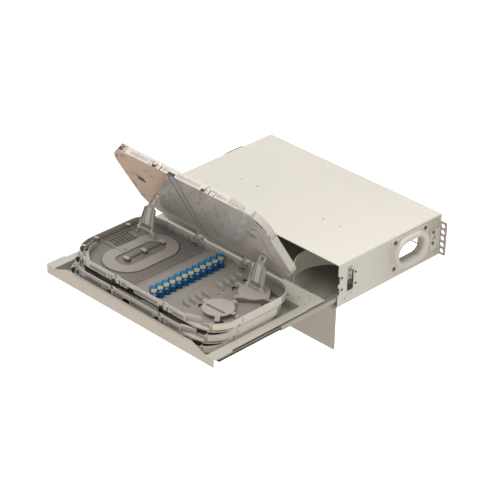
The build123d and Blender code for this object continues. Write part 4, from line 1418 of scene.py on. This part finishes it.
        # The lines at the foot of the steps are painted shade
        line.bar((-57.2, -196.0), (-57.2, -40.0), 0.8, (low, self.floor + 0.15))
        line.bar((62.0, -150.0), (52.0, -96.0), 0.6, (low, self.floor + 0.12))
        self.make(line, "lane_line", SHADOW_GREY)

    def adaptor_clips(self) -> None:
        """Caps, key marks and grey latches of the slanting adaptor row, with the near caps and the
        gaps in painted shade.
        """
        near, far, clips, marks, gaps = Maker(), Maker(), Maker(), Maker(), Maker()
        turn = radians(self.adaptor_turn)
        along = Vector((cos(turn), sin(turn), 0))
        across = Vector((-sin(turn), cos(turn), 0))
        top = self.floor + self.adaptor_height
        for index in range(self.adaptor_count):
            shift = (index - (self.adaptor_count - 1) / 2) * self.adaptor_pitch
            middle = Vector((self.adaptor_row[0], self.adaptor_row[1] + shift, 0))
            for caps, side in ((near, 1), (far, -1)):
                for reach, size, height, edge in (
                    (12.6, (12.0, 9.6, 0.9), 0.3, 0.3),
                    (19.4, (0.9, 7.2, 6.0), -5.0, 0.25),
                    (8.6, (2.2, 9.0, 0.7), 0.9, 0.25),
                ):
                    spot = middle + along * (side * reach)
                    caps.block(size, (spot.x, spot.y, top + height), turn, edge)
            latch = middle + across * 4.0 - along * 1.5
            clips.block((6.0, 3.4, 2.4), (latch.x, latch.y, top + 0.8), turn, 0.5)
            gap = middle - across * 5.95
            gaps.block((37.0, 1.0, 8.2), (gap.x, gap.y, self.floor + 4.1), turn)
            key = middle + along * 12.4
            spot = (key.x, key.y, top + 0.9)
            marks.block((4.4, 1.1, 0.5), spot, turn + radians(16), 0.15)
            marks.block((1.2, 2.4, 0.5), (key.x + 1.7, key.y - 1.9, top + 0.9), turn, 0.15)
        self.make(near, "adaptor_caps_near", SLEEVE_DEEP)
        self.make(far, "adaptor_caps_far", SLEEVE_BLUE)
        self.make(clips, "adaptor_latches", LATCH_GREY)
        self.make(marks, "adaptor_keys", CLIP_WHITE)
        self.make(gaps, "adaptor_gaps", SHADOW_SLOT)

    def disc_ears(self) -> None:
        """Ears round the two winding discs, and the shelf from the rear disc to the side wall."""
        ears, walls, pockets = Maker(), Maker(), Maker()
        sheet, start = 1.9, 22.0
        level = self.disc_top - 0.04 - sheet / 2
        for disc, angle, reach, width, corner in (
            (0, 180.0, 38.5, 9.0, 4.2),
            (0, 81.0, 39.0, 9.5, 2.0),
            (0, 11.0, 35.5, 8.5, 1.6),
            (0, -47.5, 45.0, 9.5, 1.8),
            (1, 183.0, 44.0, 10.0, 4.6),
            (1, 256.0, 41.5, 9.0, 1.8),
        ):
            a = radians(angle)
            x, y = self.discs[disc]
            out = (start + reach) / 2
            centre = (x + out * cos(a), y + out * sin(a), level)
            ears.plate((reach - start, width, sheet), centre, corner, a)
        shelf = (
            (134.4, -98.0),
            (145.3, -88.4),
            (152.5, -84.0),
            (167.1, -69.0),
            (181.0, -60.0),
            (168.0, -42.0),
            (140.0, -50.0),
        )
        ears.slab(shelf, (self.disc_top - 0.05 - sheet, self.disc_top - 0.05), 0.3)
        tip = ((179.5, -66.0), (186.5, -60.0), (190.6, -50.0), (185.0, -47.0))
        ears.slab(tip, (-3.2, -1.6), 0.3)
        ears.plate((10.0, 5.0, 1.4), (184.5, -141.0, -0.2), 1.4, radians(-75))
        self.make(ears, "disc_ears", RIM_PLASTIC)
        # The walls under the shelf and the wide slot across the front disc are painted in half shade
        deep = (self.floor, self.disc_top - sheet)
        for first, last in (
            ((137.0, -98.0), (150.0, -86.4)),
            ((150.0, -86.4), (167.0, -70.5)),
            ((167.0, -70.5), (178.0, -61.0)),
            ((166.0, -178.0), (158.0, -166.0)),
        ):
            walls.bar(first, last, 1.4, deep)
        walls.arc(self.discs[0], 24.0, (-52, -12), 1.3, deep, 10)
        slot = (self.disc_top - 0.1, self.disc_top + 0.06)
        walls.bar((117.5, -150.4), (159.5, -148.7), 5.6, slot)
        self.make(walls, "disc_walls", SHADOW_GREY)
        # Dark spots of painted shade mark the pockets in the floor
        for x, y, radius in ((166.0, -161.5, 4.3), (184.0, -149.5, 3.55), (176.0, -69.5, 3.3)):
            pockets.drum(radius, (self.floor, self.floor + 0.1), (x, y))
        for centre, radius in (((103.5, -152.0), 3.2), ((103.0, -68.0), 3.6)):
            pockets.arc(centre, radius, (60, 300), 1.2, (self.floor, self.floor + 3.0), 10)
        self.make(pockets, "disc_pockets", SHADOW_SLOT)

    def fan_fins(self) -> None:
        """Curved sails of the fins between the adaptors and the discs."""
        fins = Maker()
        for rows, top in (
            ((-170.0, -154.0, -138.0, -122.0), 0.2),
            ((-86.0, -70.0, -54.0, -38.0), 2.6),
        ):
            sail = (
                (77.2, self.floor),
                (77.2, top - 1.6),
                (78.6, top),
                (81.0, top - 0.2),
                (86.5, top - 2.6),
                (91.0, top - 6.0),
                (94.0, top - 10.0),
                (94.4, self.floor),
            )
            for y in rows:
                fins.slab(sail, (-y - 1.0, -y + 1.0), 0.25)
        self.make(fins, "fin_sails", SAIL_PLASTIC, upright=True)

    def rear_fittings(self) -> None:
        """Hinge springs, wall ribs and the combs along the rear wall, with painted shadows by the
        hinges, combs and side rib.
        """
        steel, shade, ribs = Maker(), Maker(), Maker()
        y, floor = self.rear - self.wall, self.floor
        for x in self.hinge_x:
            for dx, dy, turn in ((-8.0, -0.9, 0.3), (-1.5, -1.4, -0.5), (5.0, -0.9, 0.4)):
                steel.plate((5.4, 2.4, 2.0), (x + dx, y + dy, self.rim - 1.2), 0.8, turn)
            # Dark blocks by each hinge, by the combs and by the side rib are painted shadows
            for turn in (-0.7, 0.2, 0.9):
                shade.block((10.0, 1.3, 1.4), (x + 1.0, y - 9.0, floor + 6.0), turn, 0.3)
            steel.drum(1.2, (floor, floor + 7.2), (x + 1.0, y - 9.0))
            ribs.block((20.0, 1.6, 3.0), (x + 1.0, y - 0.7, self.rim - 4.6), 0.0, 0.4)
        for x in (-140.0, -120.0, -96.0, -78.0, -40.0, 34.0, 90.0, 108.0):
            ribs.block((1.6, 2.6, 9.0), (x, y - 1.2, floor + 4.5), 0.0, 0.4)
        tilt = radians(-20)
        for index in range(5):
            x, slope = 154.0 + 4.8 * index, 1.1 * index
            ribs.block((1.4, 6.0, 4.6), (x, y - 23.0 - slope, floor + 6.0), tilt, 0.3)
            shade.block((2.6, 3.2, 0.3), (x + 2.4, y - 25.5 - slope, floor + 4.5), tilt)
        ribs.bar((150.0, y - 21.0), (178.0, y - 28.0), 5.0, (floor, floor + 4.2), 0.4)
        tilt = radians(24)
        for index in range(3):
            shade.block((9.0, 1.4, 1.0), (101.0, -41.0 + 3.2 * index, floor + 4.8), tilt, 0.3)
        ribs.block((14.0, 11.0, 4.2), (101.0, -38.0, floor + 2.1), tilt, 0.5)
        self.make(steel, "hinge_springs", SPRING_STEEL)
        self.make(shade, "hinge_sockets", SHADOW_SLOT)
        self.make(ribs, "rear_ribs", self.wall_finish)

    def floor_marks(self) -> None:
        """Ejector marks and small pegs that break up the wide floor."""
        marks = Maker()
        low, floor = self.floor - 0.1, self.floor
        for spot in (
            (-70.0, -30.0),
            (-14.0, -196.0),
            (100.0, -120.0),
            (112.0, -100.0),
            (178.0, -110.0),
            (-22.0, -120.0),
        ):
            marks.drum(2.2, (low, floor + 0.12), spot, segments=24)
        for start, end, width, height in (
            ((60.0, -168.0), (74.0, -176.0), 1.0, 0.9),
            ((62.0, -60.0), (72.0, -28.0), 0.8, 0.5),
            ((108.0, -186.0), (118.0, -196.0), 1.0, 4.0),
        ):
            marks.bar(start, end, width, (low, floor + height), 0.2)
        self.make(marks, "floor_marks", self.wall_finish)

    def underside(self) -> None:
        """Groove, slots and pips under the tray's floor."""
        skin = (self.bottom - 0.12, self.bottom + 0.1)
        lines, pips = Maker(), Maker()
        for x, y, end_x, end_y, width in (
            (-32.5, -203.0, -46.5, -5.0, 0.9),
            (-10.8, -203.0, -31.0, -5.0, 0.9),
            (-14.0, -203.0, -34.5, -5.0, 0.5),
            (-29.0, -203.0, -43.0, -5.0, 0.5),
            (163.5, -140.0, 161.0, -52.0, 1.0),
            *((*slot, 1.7) for slot in UNDERSIDE_SLOTS),
        ):
            lines.bar((x, y), (end_x, end_y), width, skin)
        depth, rows = 0.24, 9
        for index in range(rows):
            spot = (17.0 - 0.6 * index, -174.0 + 16.9 * index, self.bottom)
            lines.block((1.8, 4.4, depth), spot)
        for index in range(6):
            for row in range(2):
                x = -167.0 + 2.9 * index + 2.0 * row
                y = -182.0 - 1.4 * index + 4.4 * row
                lines.block((1.7, 1.7, depth), (x, y, self.bottom), radians(-25))
        lines.slab(((-183.0, -172.0), (-176.0, -181.0), (-177.5, -168.0)), skin)
        # The groove, slots and marks under the floor are dark lines of painted shade
        self.make(lines, "underside_slots", SHADOW_SLOT)
        for index in range(rows):
            pips.drum(1.6, skin, (26.0 - 0.6 * index, -166.0 + 16.9 * index), segments=16)
            pips.drum(1.3, skin, (4.0 - 0.8 * index, -160.0 + 16.9 * index), segments=16)
        for spot in (
            (-118.0, -150.0),
            (-134.0, -96.0),
            (110.0, -110.0),
            (96.0, -64.0),
            (132.0, -150.0),
            (76.0, -186.0),
        ):
            pips.drum(2.2, skin, spot, segments=24)
        pips.bar((-126.0, -160.0), (-92.0, -196.0), 0.7, skin)
        pips.bar((70.0, -190.0), (118.0, -120.0), 0.7, skin)
        self.make(pips, "underside_pips", CLIP_WHITE if self.number == 1 else TRAY_PLASTIC)


@dataclass(frozen=True)
class CornerBlock:
    """Light moulded fibre block in the front-left corner of the open tray.

    Attributes:
        tray: The tray that carries the block.
        left: Where the block starts along the front wall.
        right: Where it ends.
    """

    tray: TrayFittings
    left: float = -159.0
    right: float = -121.0

    def build(self) -> None:
        """Make the back and the pockets as dark painted shade, and the white frame with its webs."""
        tray, left, right = self.tray, self.left, self.right
        low, high = tray.bottom + 0.1, tray.rim - 0.6
        face = -tray.front - 0.35
        depth = (face - 1.7, face)
        back, frame, pockets = Maker(), Maker(), Maker()
        outline = ((left, low), (left, high), (right, high), (right, low))
        back.slab(outline, (face - 10.0, face - 1.6))
        tray.make(back, "corner_back", SHADOW_GREY, upright=True)
        webs = (
            ((left, -3.0), (-146.0, high)),
            ((-146.0, high), (-134.0, low)),
            ((-148.0, low), (-138.0, -4.0)),
            ((-134.0, low), (-124.0, high)),
        )
        for start, end in (*zip(outline, outline[1:] + outline[:1]), *webs):
            frame.bar(start, end, 1.8, depth, 0.3)
        frame.slab(((-146.0, high), (-138.0, high), (-131.0, -6.0), (-141.0, -8.0)), depth)
        tray.make(frame, "corner_frame", CLIP_WHITE, upright=True)
        for corner in (
            ((-157.6, -2.6), (-149.0, 0.6), (-157.6, 0.6)),
            ((-157.6, -5.0), (-150.0, -10.6), (-157.6, -10.6)),
            ((-129.0, -10.8), (-122.2, -10.8), (-122.2, -3.0)),
        ):
            pockets.slab(corner, (face - 1.5, face - 0.5))
        tray.make(pockets, "corner_pockets", SHADOW_SLOT, upright=True)


@dataclass(frozen=True)
class PropFittings:
    """Grooves, leg caps and window frame of one folding prop, in the blade's own frame.

    Attributes:
        side: Which of the two props it is.
        axis: Hinge axis of the tray that carries the prop, in metres.
        x: Middle of the prop.
        pivot: Depth and height of its pivot in the tray's frame.
        lean: Angle at which the blade stands at rest, in degrees.
        finger_turn: How much further the finger leans than the blade, in degrees.
        finger_from: Distance of the finger from the pivot.
        skin: Height of the blade's face over its middle plane.
    """

    side: Side
    axis: tuple[float, float, float]
    x: float
    pivot: Span = (-52.0, 2.2)
    lean: float = 106.0
    finger_turn: float = 25.0
    finger_from: float = 48.0
    skin: float = 1.1

    def _frame(self, distance: float, angle: float) -> Matrix:
        """Frame on the blade whose Y runs along it and whose Z points to the front.

        Args:
            distance: Distance from the pivot, along the blade.
            angle: Direction of the frame's Y, in degrees.

        Returns:
            The frame in the row frame, in metres.
        """
        lean, a = radians(self.lean), radians(angle)
        y = self.axis[1] + (self.pivot[0] - distance * cos(lean)) * MM
        z = self.axis[2] + (self.pivot[1] + distance * sin(lean)) * MM
        rows = ((1, 0, 0), (0, -cos(a), sin(a)), (0, -sin(a), -cos(a)))
        return Matrix.Translation((self.x * MM, y, z)) @ Matrix(rows).transposed().to_4x4()

    def build(self) -> None:
        """Make the prop's fine pieces."""
        body = f"prop_arm_{self.side.word}"
        blade = self._frame(0.0, self.lean)
        finger = self._frame(self.finger_from, self.lean + self.finger_turn)
        grooves, raised, window = Maker(), Maker(), Maker()
        low = (self.skin - 0.05, self.skin + 0.08)
        frame_height = self.skin + 0.35
        grooves.bar((-12.6, 8.9), (12.6, 8.9), 1.4, low)
        plan = ((-6.0, 10.0), (6.0, 10.0), (5.4, 43.0), (-5.4, 43.0))
        raised.slab(plan, (self.skin - 0.1, self.skin + 0.9), 0.3)
        for sign in (-1, 1):
            grooves.bar((sign * 15.6, 9.0), (sign * 10.4, 41.0), 1.0, low)
            grooves.bar((sign * 7.4, 9.0), (sign * 6.6, 43.0), 1.5, low)
            raised.plate((3.6, 19.0, 1.8), (sign * 16.6, 5.4, self.skin + 0.8), 1.7)
            window.block((2.4, 11.6, 0.9), (sign * 6.0, 6.2, frame_height), 0.0, 0.3)
        for y in (0.9, 11.3):
            window.block((11.0, 1.4, 0.9), (0, y, frame_height), 0.0, 0.3)
        # The grooves are painted in half shade
        grooves.piece(f"{body}_grooves", SHADOW_GREY, body, blade)
        raised.piece(f"{body}_panel", PROP_LIGHT, body, blade, ease=0.3)
        window.piece(f"{body}_window", PROP_LIGHT, body, finger)


@dataclass(frozen=True)
class HousingTrim:
    """Pressed marks, screw recesses and small hardware on the housing, in its own frame.

    Attributes:
        shelf: The housing's frame.
        half_width: Half the width over the cover's sides.
        height: Height of the cover.
        deck: Height of the deck behind the trays.
        inlet: Depth and height of the cable inlets' middle.
    """

    shelf: ShelfFrame
    half_width: float = 223.5
    height: float = 87.2
    deck: float = 22.9
    inlet: Span = (191.0, 49.0)

    def build(self) -> None:
        """Make all the fine pieces of the housing."""
        self.top_marks()
        self.side_marks()
        self.hinge_barrel()
        self.deck_marks()
        self.inlet_details()
        self.ear_hooks()

    def make(self, maker: Maker, name: str, finish: Finish, body: str = "housing") -> None:
        """Finish a piece on the housing or the drawer."""
        maker.piece(name, finish, body, self.shelf.matrix())

    def _outward(self, side: Side, x: float, depth: float, height: float) -> Matrix:
        """Frame on one side of the housing whose Z points outwards.

        Args:
            side: The side.
            x: Distance of the surface from the middle.
            depth: Depth behind the front edge.
            height: Height above the underside.

        Returns:
            The frame.
        """
        turn = Matrix.Rotation(side.value * pi / 2, 4, "Y")
        return Matrix.Translation((side.value * x, depth, height)) @ turn

    def top_marks(self) -> None:
        """Small countersunk rivets in the top sheet."""
        marks = Maker()
        for x in (-127.0, -86.0, 86.0, 127.0):
            marks.drum(1.5, (self.height - 0.1, self.height + 0.12), (x, 105.0))
        # The rivets are dark discs of painted shade in their countersinks
        self.make(marks, "top_rivets", SHADOW_SLOT)

    def side_marks(self) -> None:
        """Pressed rectangle, screw heads and small holes near the front of each side."""
        marks, holes = Maker(), Maker()
        for side in Side:
            x = side.value * (self.half_width + 0.15)
            for height in (16.8, 23.6):
                marks.block((0.5, 14.0, 0.9), (x, 30.0, height))
            for depth in (23.2, 36.8):
                marks.block((0.5, 0.9, 7.6), (x, depth, 20.2))
            frame = self._outward(side, self.half_width, 18.7, 11.2)
            for radius, y in ((1.3, 0), (0.9, -4.6)):
                holes.drum(radius, (-0.05, 0.1), (0, y), segments=18, frame=frame)
            for depth, height in ((7.8, 58.6), (9.4, 33.7), (44.5, 57.6), (46.3, 33.4)):
                frame = self._outward(side, self.half_width, depth, height)
                holes.drum(2.5, (-0.05, 0.25), segments=24, frame=frame)
                holes.drum(1.1, (0.2, 0.7), segments=18, frame=frame)
        self.make(marks, "side_pressings", FRAME_COAT)
        # Screw holes and recesses are dark discs of painted shade
        self.make(holes, "side_holes", SHADOW_SLOT)

    def hinge_barrel(self) -> None:
        """Rolled front edge of the floor, between the knuckles of the door."""
        barrel = Maker()
        along_x = Matrix.Rotation(pi / 2, 4, "Y")
        for left, right in ((-222.0, -165.5), (-134.5, 134.5), (165.5, 222.0)):
            barrel.drum(1.9, (left, right), (2.2, -2.2), frame=along_x)
            barrel.block((right - left, 3.4, 1.2), ((left + right) / 2, -0.5, -0.65))
        # The barrel takes the door's coat of painted shade
        self.make(barrel, "hinge_barrel", DOOR_COAT)

    def deck_marks(self) -> None:
        """Small holes and a bright stud in the deck behind the trays."""
        holes, studs = Maker(), Maker()
        for side in Side:
            for x, y, radius in (
                (92.3, -37.6, 1.5),
                (98.5, -48.1, 1.3),
                (138.8, -49.1, 1.6),
                (156.5, -59.7, 2.0),
                (195.1, -43.1, 1.5),
                (210.3, -17.4, 1.6),
            ):
                holes.drum(radius, (self.deck, self.deck + 0.16), (side.value * x, y))
            stud = (self.deck, self.deck + 1.3)
            studs.drum(1.7, stud, (side.value * 178.5, -26.0), 1.0, 24)
        # The holes are dark discs of painted shade
        self.make(holes, "deck_holes", SHADOW_SLOT, "drawer")
        self.make(studs, "deck_studs", SCREW_STEEL, "drawer")

    def inlet_details(self) -> None:
        """Washers and cross recesses of the inlet screws."""
        washers, cross = Maker(), Maker()
        for side in Side:
            for dy in (-42.0, 42.0):
                for dz in (-27.65, 27.65):
                    depth, height = self.inlet[0] + dy, self.inlet[1] + dz
                    frame = self._outward(side, self.half_width + 2.5, depth, height)
                    washers.drum(4.4, (0.0, 0.7), segments=28, frame=frame)
                    spot = (side.value * (self.half_width + 4.35), depth, height)
                    cross.block((0.4, 3.6, 0.8), spot)
                    cross.block((0.4, 0.8, 3.6), spot)
        self.make(washers, "inlet_washers", DARK_SCREW)
        # The cross recesses are painted shade
        self.make(cross, "inlet_screw_recesses", SHADOW_SLOT)

    def ear_hooks(self) -> None:
        """Bright spring hooks between the screws of each ear."""
        hooks = Maker()
        for side in Side:
            x = side.value * (self.half_width + 2.6)
            hooks.block((1.2, 5.0, 5.0), (x, 262.0, 46.0), 0.0, 0.3)
            hooks.block((1.2, 9.0, 2.0), (x, 260.0, 42.6), 0.0, 0.3)
        self.make(hooks, "ear_hooks", SCREW_STEEL)


def dress_nodes(frame: dict[str, Any], trays: Sequence[TrayFittings]) -> None:
    """Give every CAD node its finish.

    Args:
        trays: The fittings of every tray.
    """
    special = {
        # The inside of the cover and base is painted in shade
        "housing_cover": sheet_finish(COVER_COAT, "#9A968F"),
        "housing_base": sheet_finish(BASE_COAT, "#9C9890"),
    }
    special |= {f"{tray.body}_pan": tray_finish(tray) for tray in trays}
    for name, node in frame["nodes"].items():
        finish = special.get(name) or finish_of(name)
        node.data.materials.clear()
        node.data.materials.append(finish.material())
        LOG.info("%s: %s", name, finish.name)


def tray_fittings(frame: dict[str, Any]) -> list[TrayFittings]:
    """Read each tray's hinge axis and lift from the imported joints.


    Returns:
        The fittings of every tray, from the top down.
    """
    found = []
    for joint in frame["joints"]:
        words = joint["name"].split("_")
        if words[0] == "tray":
            lift = -min(joint["range_deg"][0], 0)
            found.append(TrayFittings(int(words[1]), tuple(joint["pos_m"]), lift))
    return sorted(found, key=lambda tray: tray.number)


def main() -> None:
    """Build the looks around the frame, part by part."""
    logging.basicConfig(level=logging.INFO, format="%(name)s %(message)s")
    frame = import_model()
    low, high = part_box("housing_cover")
    shelf = ShelfFrame(-low[1] / MM, HousingTrim.height - high[2] / MM)
    bpy.context.scene.view_settings.view_transform = "Standard"
    trays = tray_fittings(frame)
    dress_nodes(frame, trays)
    HousingTrim(shelf).build()
    for tray in trays:
        tray.build()
    CornerBlock(trays[0]).build()
    for side, x in zip(Side, trays[1].slot_x):
        PropFittings(side, trays[1].axis, x).build()
    PhotoCamera().place(shelf)
    Studio().build()


if __name__ == "__main__":
    main()
